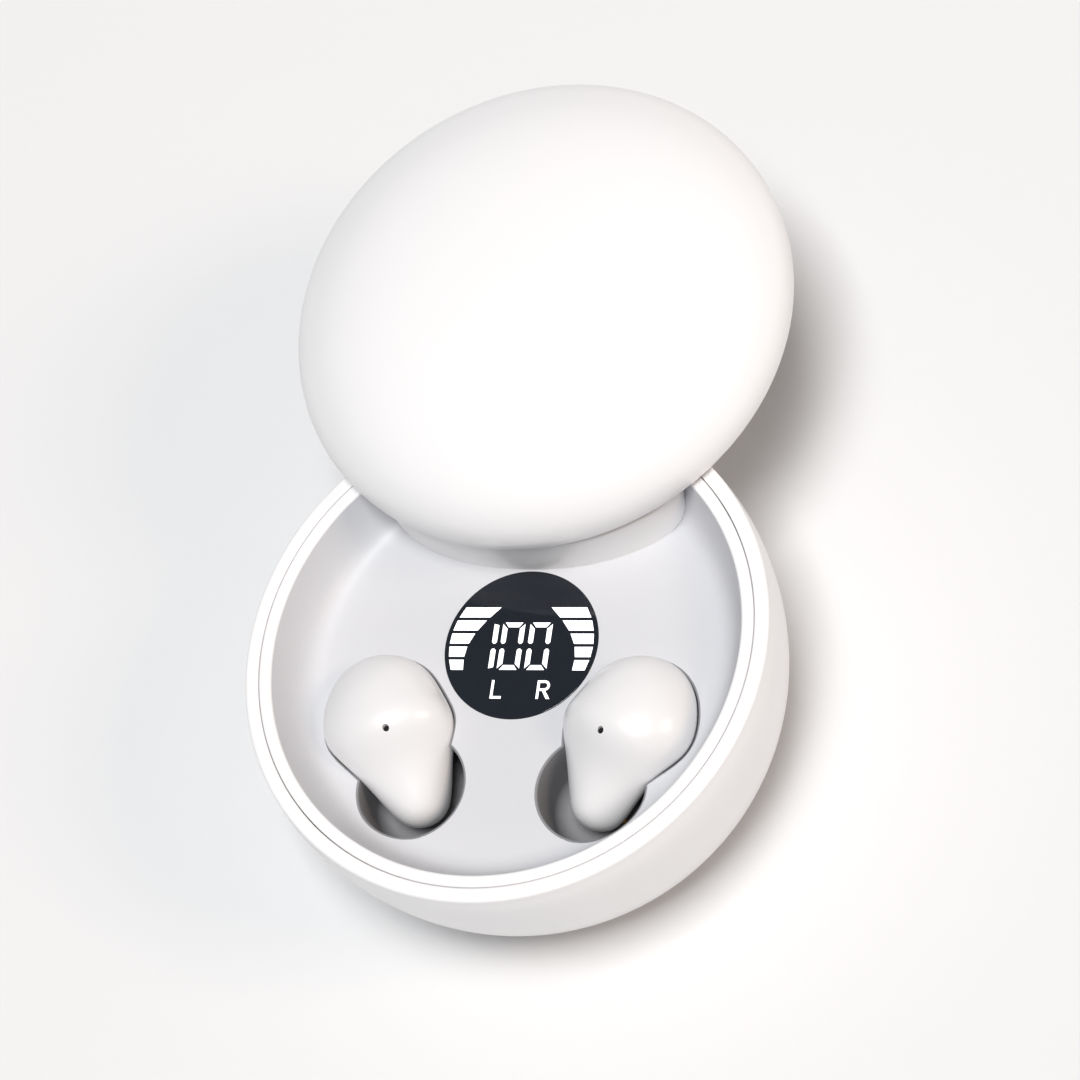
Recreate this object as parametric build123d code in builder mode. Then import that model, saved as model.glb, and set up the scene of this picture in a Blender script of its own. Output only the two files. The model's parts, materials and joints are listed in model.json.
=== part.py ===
from build123d import *
import os
from math import cos, radians, sin

os.makedirs("parts", exist_ok=True)

# ----------------------------------------------------------------------------------------------------
# Driving dimensions, in millimetres.  Z is measured from the face the case rests on.  X runs to the
# right-hand bud, and +Y runs from the pivot to the middle of the open lid.
# ----------------------------------------------------------------------------------------------------
RIM_Z = 27.0                 # top face of the bowl's rim
RIM_R = 30.0                 # rim, outer edge
BELLY_R = 30.2               # widest section of the bowl
BELLY_Z = RIM_Z - 3.0
SHELL_WALL = 1.6
SHELL_FOOT_Z = 0.4           # underside of the bowl, above the resting pad's face
SHELL_FOOT_R = 15.6
SEAM_R = 28.35               # joint between the bowl's rim and the tray's ring
SEAM_GAP = 0.05

WELL_DEPTH = 5.87
FLOOR_Z = RIM_Z - WELL_DEPTH
FLOOR_R = 22.2               # flat part of the well floor
WELL_R = 26.9                # mouth of the well
TRAY_WALL = 1.3

PIVOT_Y = 19.65              # swivel axis of the lid
PEDESTAL_Y = 20.5
PEDESTAL_RX = 18.0
PEDESTAL_RY = 9.0
PEDESTAL_Z = RIM_Z - 0.1
PIN_R = 2.0
PIN_FIT = 0.04               # radial clearance of pin in bush
BUSH_R = 3.4

LID_Y = 2 * PIVOT_Y          # middle of the open lid
LID_R = 28.9
LID_BASE_Z = RIM_Z + 0.2
LID_BELLY_Z = RIM_Z + 2.8
LID_TOP_Z = RIM_Z + 13.8
LID_WALL = 1.4
LINER_WALL = 1.0
LINER_GAP = 0.1

DISPLAY_Y = 2.4
DISPLAY_R = 8.95
WINDOW_THICK = 1.0

HEAD = Vector(14.19, -7.25, RIM_Z - 5.25)   # middle of a bud's rounded head
HEAD_HALF_WIDTH = 7.05
HEAD_REACH = 8.0                            # from the middle to the end away from the tail
HEAD_HALF_HEIGHT = 5.0
TAIL = Vector(10.57, -14.45, RIM_Z - 9.3)   # middle of its rounded tail
TAIL_R = 3.45
# between the two: distance from the head, half width, half height, dip and shift towards the middle
NECK_SECTIONS = [(2.8, 6.55, 4.65, 0.15, 0.75), (5.65, 5.25, 3.65, 1.8, 0.4)]
BUD_WALL = 0.9
MIC_X = 12.35
MIC_Y = -9.7
CONTACT_PITCH = 3.0
BUD_ROOM = 0.3                # gap between a bud and its pocket

TAIL_POCKET_X = 10.4          # roomier pocket round the tail, for a fingertip
TAIL_POCKET_Y = -14.5
TAIL_POCKET_R = 6.3
TAIL_POCKET_Z = RIM_Z - 13.6
BUD_POCKET_Z = RIM_Z - 11.4
TIP_POCKET_R = 5.6
TIP_POCKET_Z = RIM_Z - 15.4
CUP_WALL = 1.0

BOARD_Z = 13.0
BOARD_THICK = 0.8
BOARD_R = 24.0
BOARD_FRONT_Y = 5.6
BOARD_POSTS = [(18.0, 8.0), (-18.0, 8.0), (6.5, 21.3), (-6.5, 21.3)]
PEDESTAL_SCREWS = [(11.5, 17.5), (-11.5, 17.5)]

CELL = (23.6, 20.0, 6.0)
CELL_Z = 3.0

USB_W = 8.94
USB_H = 3.26
USB_DEPTH = 7.3
USB_Z = BOARD_Z - USB_H / 2
USB_FACE_Y = 27.9


def save(part, name):
    """Label one sub-part and write it to its own file."""
    part.label = name
    export_step(part, f"parts/{name}.step")


# ----------------------------------------------------------------------------------------------------
# Outer shell: a bowl whose side leans in smoothly from the belly to the flat foot.
# ----------------------------------------------------------------------------------------------------
def bowl_side(inset):
    """Control points of the bowl's side, the given distance inside its outer face."""
    return [
        (BELLY_R - inset, BELLY_Z),
        (BELLY_R - inset, BELLY_Z - 10.5 + 0.3 * inset),
        (26.0 - 0.75 * inset, SHELL_FOOT_Z + inset),
        (SHELL_FOOT_R - 0.2 * inset, SHELL_FOOT_Z + inset),
    ]


with BuildPart() as outer_shell:
    with BuildSketch(Plane.XZ):
        with BuildLine():
            outer = Bezier(*bowl_side(0))
            Line(outer @ 1, (0, SHELL_FOOT_Z))
            Line((0, SHELL_FOOT_Z), (0, SHELL_FOOT_Z + SHELL_WALL))
            inner = Bezier(*bowl_side(SHELL_WALL))
            Line((0, SHELL_FOOT_Z + SHELL_WALL), inner @ 1)
            rim_inside = Line(inner @ 0, (SEAM_R + SEAM_GAP, BELLY_Z + 1.0))
            Line(rim_inside @ 1, (SEAM_R + SEAM_GAP, RIM_Z))
            Line((SEAM_R + SEAM_GAP, RIM_Z), (RIM_R - 0.3, RIM_Z))
            lip = RadiusArc((RIM_R - 0.3, RIM_Z), (RIM_R, RIM_Z - 0.3), -0.3)
            ThreePointArc(lip @ 1, ((RIM_R + BELLY_R) / 2 + 0.05, RIM_Z - 1.6), outer @ 0)
        make_face()
    revolve(axis=Axis.Z)
    # recess for the resting pad
    with BuildSketch(Plane.XY):
        Circle(14.6)
    extrude(amount=SHELL_FOOT_Z + 0.8, mode=Mode.SUBTRACT)
    # slot for the charging socket
    with BuildSketch(Plane.XZ.offset(-(USB_FACE_Y - 6.0))):
        with Locations((0, USB_Z)):
            RectangleRounded(USB_W + 0.1, USB_H + 0.1, USB_H / 2 - 0.02)
    extrude(amount=-10.0, mode=Mode.SUBTRACT)
save(outer_shell.part, "outer_shell")

with BuildPart() as foot_pad:
    with BuildSketch(Plane.XY):
        Circle(14.5)
    extrude(amount=SHELL_FOOT_Z + 0.8)
    fillet(foot_pad.edges().group_by(Axis.Z)[0], radius=0.3)
save(foot_pad.part, "foot_pad")


# ----------------------------------------------------------------------------------------------------
# Inner tray: rim ring, sloping well wall, flat floor and two bud pockets.
# ----------------------------------------------------------------------------------------------------
def well_wall(inset):
    """Control points of the well's wall, from its mouth down to the flat floor."""
    return [
        (WELL_R + inset, RIM_Z - 0.3),
        (WELL_R - 1.6 + inset, FLOOR_Z + 1.2 - inset),
        (FLOOR_R + 2.4 + inset, FLOOR_Z - inset),
        (FLOOR_R + 0.5 * inset, FLOOR_Z - inset),
    ]


LEAN = (Vector(TAIL.X, TAIL.Y, 0) - Vector(HEAD.X, HEAD.Y, 0)).normalized()
ACROSS = Vector(-LEAN.Y, LEAN.X, 0)
TAIL_REACH = (Vector(TAIL.X, TAIL.Y, 0) - Vector(HEAD.X, HEAD.Y, 0)).length
TAIL_DIP = HEAD.Z - TAIL.Z
CHARGE_PIN_R = 0.5
PIN_PLACES = [(TAIL.X + k * ACROSS.X, TAIL.Y + k * ACROSS.Y) for k in (-CONTACT_PITCH / 2, CONTACT_PITCH / 2)]

NOZZLE_R = 2.4
NOZZLE_BORE_R = 1.7
NOZZLE_Z = RIM_Z - 13.4
NOZZLE_X = HEAD.X - 1.8 * LEAN.X
NOZZLE_Y = HEAD.Y - 1.8 * LEAN.Y
NOZZLE_AXIS = Axis((NOZZLE_X, NOZZLE_Y, 0), (0, 0, 1))
TIP_R = 4.8
TIP_TOP_Z = RIM_Z - 12.0
TIP_BASE_Z = RIM_Z - 15.0


def place_pair(x, y):
    """The left-hand and right-hand places of one feature."""
    return Locations((x, y), (-x, y))


def bud_sections(inset):
    """Upright oval sections of a bud, a given distance inside its face.

    Each is the distance from the head, half width, half height, dip and shift.  They make a quarter
    turn over the far side of the head, a neck that dips and narrows, and a quarter turn over the tail.
    """
    sections = []
    for turn in (-81, -62, -42, -21, 0):
        along = (HEAD_REACH - inset) * sin(radians(turn))
        half_width = (HEAD_HALF_WIDTH - inset) * cos(radians(turn))
        half_height = (HEAD_HALF_HEIGHT - inset) * cos(radians(turn))
        sections.append((along, half_width, half_height, 0.0, 0.0))
    for along, half_width, half_height, dip, shift in NECK_SECTIONS:
        sections.append((along, half_width - inset, half_height - inset, dip, -shift))
    for turn in (0, 25, 45, 65, 82):
        across = (TAIL_R - inset) * cos(radians(turn))
        along = TAIL_REACH + (TAIL_R - inset) * sin(radians(turn))
        sections.append((along, across, across, TAIL_DIP, 0.0))
    return sections


def bud_outline(room, side):
    """Points round a bud seen from above, grown all round; side is 1 for the right, -1 for the left."""
    sections = bud_sections(-room)
    inner_side = [(along, shift - half_width) for along, half_width, _, _, shift in sections]
    outer_side = [(along, shift + half_width) for along, half_width, _, _, shift in reversed(sections)]
    ends = [(-HEAD_REACH - room, 0.0), (TAIL_REACH + TAIL_R + room, 0.0)]
    places = []
    for along, across in [ends[0]] + inner_side + [ends[1]] + outer_side:
        place = HEAD + LEAN * along + ACROSS * across
        places.append((side * place.X, place.Y))
    return places


with BuildPart() as inner_tray:
    with BuildSketch(Plane.XZ):
        with BuildLine():
            well = Bezier(*well_wall(0))
            Line(well @ 1, (0, FLOOR_Z))
            Line((0, FLOOR_Z), (0, FLOOR_Z - TRAY_WALL))
            under = Bezier(
                (SEAM_R - SEAM_GAP, RIM_Z - 2.6),
                (WELL_R + 0.3, RIM_Z - 3.6),
                (FLOOR_R + 3.6, FLOOR_Z - TRAY_WALL),
                (FLOOR_R + 0.5, FLOOR_Z - TRAY_WALL),
            )
            Line((0, FLOOR_Z - TRAY_WALL), under @ 1)
            Line(under @ 0, (SEAM_R - SEAM_GAP, RIM_Z))
            Line((SEAM_R - SEAM_GAP, RIM_Z), (WELL_R + 0.3, RIM_Z))
            RadiusArc((WELL_R + 0.3, RIM_Z), well @ 0, 0.3)
        make_face()
    revolve(axis=Axis.Z)
    # cups that hold the buds, kept inside the bowl
    with BuildSketch(Plane.XY.offset(BUD_POCKET_Z - CUP_WALL)):
        for side in (1, -1):
            with BuildLine():
                Spline(*bud_outline(BUD_ROOM + CUP_WALL, side), periodic=True)
            make_face()
    extrude(amount=FLOOR_Z - 0.6 - BUD_POCKET_Z + CUP_WALL)
    with BuildSketch(Plane.XY.offset(TIP_POCKET_Z - CUP_WALL)):
        with place_pair(NOZZLE_X, NOZZLE_Y):
            Circle(TIP_POCKET_R + CUP_WALL)
    extrude(amount=FLOOR_Z - 0.6 - TIP_POCKET_Z + CUP_WALL)
    with BuildSketch(Plane.XY.offset(TAIL_POCKET_Z - CUP_WALL)):
        with place_pair(TAIL_POCKET_X, TAIL_POCKET_Y):
            Circle(TAIL_POCKET_R + CUP_WALL)
    extrude(amount=FLOOR_Z - 0.6 - TAIL_POCKET_Z + CUP_WALL)
    # seat ring under the display, posts for the main board
    with BuildSketch(Plane.XY.offset(FLOOR_Z - 2.3)):
        with Locations((0, DISPLAY_Y)):
            Circle(DISPLAY_R + 1.1)
    extrude(amount=2.0)
    with BuildSketch(Plane.XY.offset(BOARD_Z + BOARD_THICK)):
        with Locations(*BOARD_POSTS):
            Circle(1.8)
    extrude(amount=FLOOR_Z - 0.6 - BOARD_Z - BOARD_THICK)
    # the pockets themselves
    with BuildSketch(Plane.XY.offset(BUD_POCKET_Z)):
        for side in (1, -1):
            with BuildLine():
                Spline(*bud_outline(BUD_ROOM, side), periodic=True)
            make_face()
    extrude(amount=RIM_Z - BUD_POCKET_Z, mode=Mode.SUBTRACT)
    with BuildSketch(Plane.XY.offset(TIP_POCKET_Z)):
        with place_pair(NOZZLE_X, NOZZLE_Y):
            Circle(TIP_POCKET_R)
    extrude(amount=RIM_Z - TIP_POCKET_Z, mode=Mode.SUBTRACT)
    with BuildSketch(Plane.XY.offset(TAIL_POCKET_Z)):
        with place_pair(TAIL_POCKET_X, TAIL_POCKET_Y):
            Circle(TAIL_POCKET_R)
    extrude(amount=RIM_Z - TAIL_POCKET_Z, mode=Mode.SUBTRACT)
    # display seat and its opening
    with BuildSketch(Plane.XY.offset(FLOOR_Z - WINDOW_THICK)):
        with Locations((0, DISPLAY_Y)):
            Circle(DISPLAY_R + 0.05)
    extrude(amount=WINDOW_THICK, mode=Mode.SUBTRACT)
    with BuildSketch(Plane.XY.offset(FLOOR_Z - 5.0)):
        with Locations((0, DISPLAY_Y)):
            Circle(DISPLAY_R - 1.5)
    extrude(amount=5.0, mode=Mode.SUBTRACT)
    # holes for the charging pins
    with BuildSketch(Plane.XY.offset(TAIL_POCKET_Z - CUP_WALL)):
        with Locations(*PIN_PLACES, *[(-x, y) for x, y in PIN_PLACES]):
            Circle(CHARGE_PIN_R + 0.02)
    extrude(amount=CUP_WALL, mode=Mode.SUBTRACT)
    # bush hole, pedestal screw holes, blind holes in the board posts
    with BuildSketch(Plane.XY.offset(FLOOR_Z - 3.0)):
        with Locations((0, PIVOT_Y)):
            Circle(BUSH_R + 0.05)
        with Locations(*PEDESTAL_SCREWS):
            Circle(0.75)
    extrude(amount=4.0, mode=Mode.SUBTRACT)
    with BuildSketch(Plane.XY.offset(BOARD_Z)):
        with Locations(*BOARD_POSTS):
            Circle(0.6)
    extrude(amount=5.0, mode=Mode.SUBTRACT)
save(inner_tray.part, "inner_tray")

# ----------------------------------------------------------------------------------------------------
# Hinge: a fixed pedestal at the back of the well, a bush in it, and the pin the lid swivels on.
# ----------------------------------------------------------------------------------------------------
with BuildPart() as hinge_pedestal:
    with BuildSketch(Plane.XY.offset(FLOOR_Z)):
        with Locations((0, PEDESTAL_Y)):
            Ellipse(PEDESTAL_RX, PEDESTAL_RY)
    extrude(amount=PEDESTAL_Z - FLOOR_Z)
    fillet(hinge_pedestal.edges().group_by(Axis.Z)[-1], radius=0.3)
    # hollow underside with a boss for the bush and two screw bosses
    with BuildSketch(Plane.XY.offset(FLOOR_Z)):
        with Locations((0, PEDESTAL_Y)):
            Ellipse(PEDESTAL_RX - 1.3, PEDESTAL_RY - 1.3)
        with Locations((0, PIVOT_Y)):
            Circle(BUSH_R + 1.3, mode=Mode.SUBTRACT)
        with Locations(*PEDESTAL_SCREWS):
            Circle(1.8, mode=Mode.SUBTRACT)
    extrude(amount=PEDESTAL_Z - FLOOR_Z - 1.3, mode=Mode.SUBTRACT)
    with BuildSketch(Plane.XY.offset(FLOOR_Z)):
        with Locations((0, PIVOT_Y)):
            Circle(BUSH_R + 0.02)
    extrude(amount=PEDESTAL_Z - FLOOR_Z, mode=Mode.SUBTRACT)
    with BuildSketch(Plane.XY.offset(FLOOR_Z)):
        with Locations(*PEDESTAL_SCREWS):
            Circle(0.6)
    extrude(amount=4.0, mode=Mode.SUBTRACT)
    # its back follows the well's wall
    with BuildSketch(Plane.XZ):
        with BuildLine():
            wall = Bezier(*well_wall(-0.05))
            Line(wall @ 1, (0, FLOOR_Z))
            Line((0, FLOOR_Z), (0, RIM_Z))
            Line((0, RIM_Z), (WELL_R - 0.05, RIM_Z))
            Line((WELL_R - 0.05, RIM_Z), wall @ 0)
        make_face()
    revolve(axis=Axis.Z, mode=Mode.INTERSECT)
save(hinge_pedestal.part, "hinge_pedestal")

with BuildPart() as pedestal_screws:
    with Locations(*[(x, y, FLOOR_Z - TRAY_WALL - 0.9) for x, y in PEDESTAL_SCREWS]):
        Cylinder(1.3, 0.9, align=(Align.CENTER, Align.CENTER, Align.MIN))
    with Locations(*[(x, y, FLOOR_Z - TRAY_WALL) for x, y in PEDESTAL_SCREWS]):
        Cylinder(0.58, 4.6, align=(Align.CENTER, Align.CENTER, Align.MIN))
    with Locations(*[(x, y, FLOOR_Z - TRAY_WALL - 0.9) for x, y in PEDESTAL_SCREWS]):
        Cylinder(0.5, 0.5, align=(Align.CENTER, Align.CENTER, Align.MIN), mode=Mode.SUBTRACT)
save(pedestal_screws.part, "pedestal_screws")

BUSH_BASE_Z = FLOOR_Z - TRAY_WALL - 0.8
with BuildPart() as pivot_bush:
    with BuildSketch(Plane.XY.offset(BUSH_BASE_Z)):
        with Locations((0, PIVOT_Y)):
            Circle(BUSH_R + 1.2)
    extrude(amount=0.8)
    with BuildSketch(Plane.XY.offset(BUSH_BASE_Z)):
        with Locations((0, PIVOT_Y)):
            Circle(BUSH_R)
    extrude(amount=PEDESTAL_Z - BUSH_BASE_Z)
    with BuildSketch(Plane.XY.offset(BUSH_BASE_Z)):
        with Locations((0, PIVOT_Y)):
            Circle(PIN_R + PIN_FIT)
    extrude(amount=PEDESTAL_Z - BUSH_BASE_Z, mode=Mode.SUBTRACT)
save(pivot_bush.part, "pivot_bush")


def flat_ring(z, height, outer_r, inner_r):
    """A washer about the swivel axis."""
    with BuildPart() as ring:
        with BuildSketch(Plane.XY.offset(z)):
            with Locations((0, PIVOT_Y)):
                Circle(outer_r)
                Circle(inner_r, mode=Mode.SUBTRACT)
        extrude(amount=height)
    return ring.part


WASHER_THICK = 0.25
PLATE_Z = RIM_Z + 0.2
PLATE_THICK = 1.0
PLATE_R = 6.2
PIN_HEAD_R = 3.2
PIN_FOOT_Z = BUSH_BASE_Z - 1.9
CLIP_Z = PIN_FOOT_Z + 0.5
save(flat_ring(PEDESTAL_Z, WASHER_THICK, 5.6, PIN_R + 0.1), "friction_washer")
save(flat_ring(CLIP_Z + 0.55, 0.7, 3.6, PIN_R + 0.1), "spring_washer")

with BuildPart() as pivot_pin:
    with BuildSketch(Plane.XY.offset(PIN_FOOT_Z)):
        with Locations((0, PIVOT_Y)):
            Circle(PIN_R)
    extrude(amount=PLATE_Z + PLATE_THICK - PIN_FOOT_Z)
    chamfer(pivot_pin.edges().group_by(Axis.Z)[0], length=0.25)
    with BuildSketch(Plane.XY.offset(PLATE_Z + PLATE_THICK)):
        with Locations((0, PIVOT_Y)):
            Circle(PIN_HEAD_R)
    extrude(amount=1.0)
    with BuildSketch(Plane.XY.offset(CLIP_Z)):
        with Locations((0, PIVOT_Y)):
            Circle(PIN_R + 0.5)
            Circle(PIN_R - 0.45, mode=Mode.SUBTRACT)
    extrude(amount=0.5, mode=Mode.SUBTRACT)
save(pivot_pin.part, "pivot_pin")

with BuildPart() as retaining_clip:
    with BuildSketch(Plane.XY.offset(CLIP_Z + 0.02)):
        with Locations((0, PIVOT_Y)):
            Circle(3.4)
            Circle(PIN_R - 0.43, mode=Mode.SUBTRACT)
        with Locations((0, PIVOT_Y - 3.0)):
            Rectangle(2.2, 4.0, mode=Mode.SUBTRACT)
    extrude(amount=0.46)
save(retaining_clip.part, "retaining_clip")

HINGE_SCREW_PCD = 9.0
with BuildPart() as swivel_plate:
    with BuildSketch(Plane.XY.offset(PLATE_Z)):
        with Locations((0, PIVOT_Y)):
            Circle(PLATE_R)
            Circle(PIN_R, mode=Mode.SUBTRACT)
    extrude(amount=PLATE_THICK)
    with BuildSketch(Plane.XY.offset(PLATE_Z)):
        with Locations((0, PIVOT_Y)):
            with PolarLocations(HINGE_SCREW_PCD / 2, 3, start_angle=90):
                Circle(0.72)
    extrude(amount=PLATE_THICK, mode=Mode.SUBTRACT)
    with BuildSketch(Plane.XY.offset(PLATE_Z)):
        with Locations((0, PIVOT_Y)):
            with PolarLocations(HINGE_SCREW_PCD / 2, 3, start_angle=90):
                Circle(1.32)
    extrude(amount=0.5, mode=Mode.SUBTRACT)
save(swivel_plate.part, "swivel_plate")

with BuildPart() as hinge_screws:
    with BuildSketch(Plane.XY.offset(PLATE_Z + 0.02)):
        with Locations((0, PIVOT_Y)):
            with PolarLocations(HINGE_SCREW_PCD / 2, 3, start_angle=90):
                Circle(1.25)
    extrude(amount=0.48)
    with BuildSketch(Plane.XY.offset(PLATE_Z + 0.5)):
        with Locations((0, PIVOT_Y)):
            with PolarLocations(HINGE_SCREW_PCD / 2, 3, start_angle=90):
                Circle(0.58)
    extrude(amount=4.0)
save(hinge_screws.part, "hinge_screws")


# ----------------------------------------------------------------------------------------------------
# Lid: a shallow pebble dome over a hollow liner.  Both turn about the swivel axis.
# ----------------------------------------------------------------------------------------------------
def dome_sketch(inset, base_z):
    """Half section of the lid's outer form, a given distance inside its face, about the lid's axis."""
    r = LID_R - inset
    top = LID_TOP_Z - inset
    with BuildSketch(Plane.XZ.offset(-LID_Y)) as section:
        with BuildLine():
            crown = Bezier(
                (r, LID_BELLY_Z),
                (r, LID_BELLY_Z + 0.59 * (top - LID_BELLY_Z)),
                (0.62 * r, top),
                (0, top),
            )
            foot = Bezier(
                (r, LID_BELLY_Z),
                (r, LID_BELLY_Z - 1.3),
                (r - 0.5, base_z + 0.3),
                (r - 1.3, base_z),
            )
            Line(foot @ 1, (0, base_z))
            Line((0, base_z), crown @ 1)
        make_face()
    return section.sketch


LID_AXIS = Axis((0, LID_Y, 0), (0, 0, 1))
HOLLOW = LID_WALL + LINER_GAP
MAGNET_Y = LID_Y + 24.9
with BuildPart() as lid_shell:
    add(dome_sketch(0, LID_BASE_Z))
    revolve(axis=LID_AXIS)
    with BuildPart(mode=Mode.PRIVATE) as lid_hollow:
        add(dome_sketch(LID_WALL, LID_BASE_Z))
        revolve(axis=LID_AXIS)
    add(lid_hollow.part, mode=Mode.SUBTRACT)
save(lid_shell.part, "lid_shell")

with BuildPart() as liner_form:
    add(dome_sketch(HOLLOW, LID_BASE_Z + 0.1))
    revolve(axis=LID_AXIS)

with BuildPart() as liner_hollow:
    add(dome_sketch(HOLLOW + LINER_WALL, LID_BASE_Z + 0.1))
    revolve(axis=LID_AXIS)

with BuildPart() as lid_liner:
    add(liner_form.part)
    add(liner_hollow.part, mode=Mode.SUBTRACT)
    # boss over the swivel plate and a pocket block for the magnet, both cut to the dome
    with BuildPart(mode=Mode.PRIVATE) as bosses:
        with BuildSketch(Plane.XY.offset(PLATE_Z + PLATE_THICK)):
            with Locations((0, PIVOT_Y)):
                Circle(PLATE_R + 0.2)
        extrude(amount=LID_TOP_Z - PLATE_Z - PLATE_THICK)
        with BuildSketch(Plane.XY.offset(LID_BASE_Z + 0.1)):
            with Locations((0, MAGNET_Y)):
                Rectangle(10.0, 4.0)
        extrude(amount=4.2)
        add(liner_form.part, mode=Mode.INTERSECT)
    add(bosses.part)
    with BuildSketch(Plane.XY.offset(LID_BASE_Z)):
        with Locations((0, PIVOT_Y)):
            Circle(PLATE_R + 0.1)
    extrude(amount=PLATE_Z + PLATE_THICK - LID_BASE_Z, mode=Mode.SUBTRACT)
    with BuildSketch(Plane.XY.offset(PLATE_Z + PLATE_THICK)):
        with Locations((0, PIVOT_Y)):
            Circle(PIN_HEAD_R + 0.1)
    extrude(amount=1.1, mode=Mode.SUBTRACT)
    with BuildSketch(Plane.XY.offset(PLATE_Z + PLATE_THICK)):
        with Locations((0, PIVOT_Y)):
            with PolarLocations(HINGE_SCREW_PCD / 2, 3, start_angle=90):
                Circle(0.6)
    extrude(amount=3.6, mode=Mode.SUBTRACT)
    with BuildSketch(Plane.XY.offset(LID_BASE_Z + 0.1)):
        with Locations((0, MAGNET_Y)):
            Rectangle(8.04, 1.84)
    extrude(amount=3.2, mode=Mode.SUBTRACT)
save(lid_liner.part, "lid_liner")

with BuildPart() as lid_magnet:
    with Locations((0, MAGNET_Y, LID_BASE_Z + 0.25)):
        Box(8.0, 1.8, 3.0, align=(Align.CENTER, Align.CENTER, Align.MIN))
save(lid_magnet.part, "lid_magnet")

with BuildPart() as base_magnet:
    with Locations((0, -27.4, RIM_Z - 7.8)):
        Box(8.0, 1.2, 3.0, align=(Align.CENTER, Align.CENTER, Align.MIN))
save(base_magnet.part, "base_magnet")

# ----------------------------------------------------------------------------------------------------
# Display, electronics and cell.
# ----------------------------------------------------------------------------------------------------
with BuildPart() as display_window:
    with BuildSketch(Plane.XY.offset(FLOOR_Z - WINDOW_THICK)):
        with Locations((0, DISPLAY_Y)):
            Circle(DISPLAY_R)
    extrude(amount=WINDOW_THICK + 0.08)
    fillet(display_window.edges().group_by(Axis.Z)[-1], radius=0.12)
save(display_window.part, "display_window")

with BuildPart() as display_light_guide:
    with BuildSketch(Plane.XY.offset(FLOOR_Z - WINDOW_THICK - 1.4)):
        with Locations((0, DISPLAY_Y)):
            Circle(DISPLAY_R - 1.6)
    extrude(amount=1.35)
    # light wells behind the three figures
    with BuildSketch(Plane.XY.offset(FLOOR_Z - WINDOW_THICK - 1.4)):
        with Locations((-3.1, DISPLAY_Y + 0.6), (0, DISPLAY_Y + 0.6), (3.1, DISPLAY_Y + 0.6)):
            Rectangle(2.2, 4.4)
    extrude(amount=1.0, mode=Mode.SUBTRACT)
save(display_light_guide.part, "display_light_guide")

with BuildPart() as display_board:
    with BuildSketch(Plane.XY.offset(FLOOR_Z - WINDOW_THICK - 2.2)):
        with Locations((0, DISPLAY_Y)):
            Circle(DISPLAY_R - 1.6)
    extrude(amount=0.75)
save(display_board.part, "display_board")

with BuildPart() as main_board:
    with BuildSketch(Plane.XY.offset(BOARD_Z)):
        Circle(BOARD_R)
        with Locations((0, BOARD_FRONT_Y - BOARD_R)):
            Rectangle(2 * BOARD_R, 2 * BOARD_R, mode=Mode.SUBTRACT)
        with Locations(*BOARD_POSTS):
            Circle(0.75, mode=Mode.SUBTRACT)
    extrude(amount=BOARD_THICK)
save(main_board.part, "main_board")

BOARD_CHIPS = [
    (0.0, 10.5, 5.0, 5.0, 0.9),
    (9.0, 12.5, 3.0, 3.0, 0.9),
    (-8.5, 12.0, 4.0, 4.0, 1.6),
    (-13.5, 9.0, 2.0, 1.25, 0.8),
    (13.0, 13.0, 2.0, 1.25, 0.8),
    (5.2, 8.0, 1.6, 0.8, 0.6),
    (-4.8, 7.6, 1.6, 0.8, 0.6),
    (10.0, 8.4, 3.0, 2.0, 1.1),
]
with BuildPart() as board_components:
    for chip_x, chip_y, chip_w, chip_d, chip_h in BOARD_CHIPS:
        with Locations((chip_x, chip_y, BOARD_Z + BOARD_THICK)):
            Box(chip_w, chip_d, chip_h, align=(Align.CENTER, Align.CENTER, Align.MIN))
save(board_components.part, "board_components")

with BuildPart() as board_screws:
    with Locations(*[(x, y, BOARD_Z - 0.8) for x, y in BOARD_POSTS]):
        Cylinder(1.2, 0.8, align=(Align.CENTER, Align.CENTER, Align.MIN))
    with Locations(*[(x, y, BOARD_Z) for x, y in BOARD_POSTS]):
        Cylinder(0.58, 4.2, align=(Align.CENTER, Align.CENTER, Align.MIN))
    with Locations(*[(x, y, BOARD_Z - 0.8) for x, y in BOARD_POSTS]):
        Cylinder(0.45, 0.45, align=(Align.CENTER, Align.CENTER, Align.MIN), mode=Mode.SUBTRACT)
save(board_screws.part, "board_screws")

with BuildPart() as usb_c_port:
    with BuildSketch(Plane.XZ.offset(-(USB_FACE_Y - USB_DEPTH))):
        with Locations((0, USB_Z)):
            RectangleRounded(USB_W, USB_H, USB_H / 2 - 0.02)
    extrude(amount=-USB_DEPTH)
    with BuildSketch(Plane.XZ.offset(-(USB_FACE_Y - USB_DEPTH + 1.0))):
        with Locations((0, USB_Z)):
            RectangleRounded(USB_W - 0.6, USB_H - 0.6, USB_H / 2 - 0.32)
    extrude(amount=-USB_DEPTH, mode=Mode.SUBTRACT)
    with BuildSketch(Plane.XZ.offset(-(USB_FACE_Y - USB_DEPTH + 0.5))):
        with Locations((0, USB_Z)):
            Rectangle(6.69, 0.7)
    extrude(amount=-(USB_DEPTH - 1.6))
save(usb_c_port.part, "usb_c_port")

with BuildPart() as battery:
    with Locations((0, 0, CELL_Z)):
        Box(*CELL, align=(Align.CENTER, Align.CENTER, Align.MIN))
    fillet(battery.edges().filter_by(Axis.X), radius=1.2)
save(battery.part, "battery")

with BuildPart() as battery_foam:
    with Locations((0, 0, SHELL_FOOT_Z + SHELL_WALL)):
        Box(18.0, 14.0, CELL_Z - SHELL_FOOT_Z - SHELL_WALL, align=(Align.CENTER, Align.CENTER, Align.MIN))
save(battery_foam.part, "battery_foam")

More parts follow.
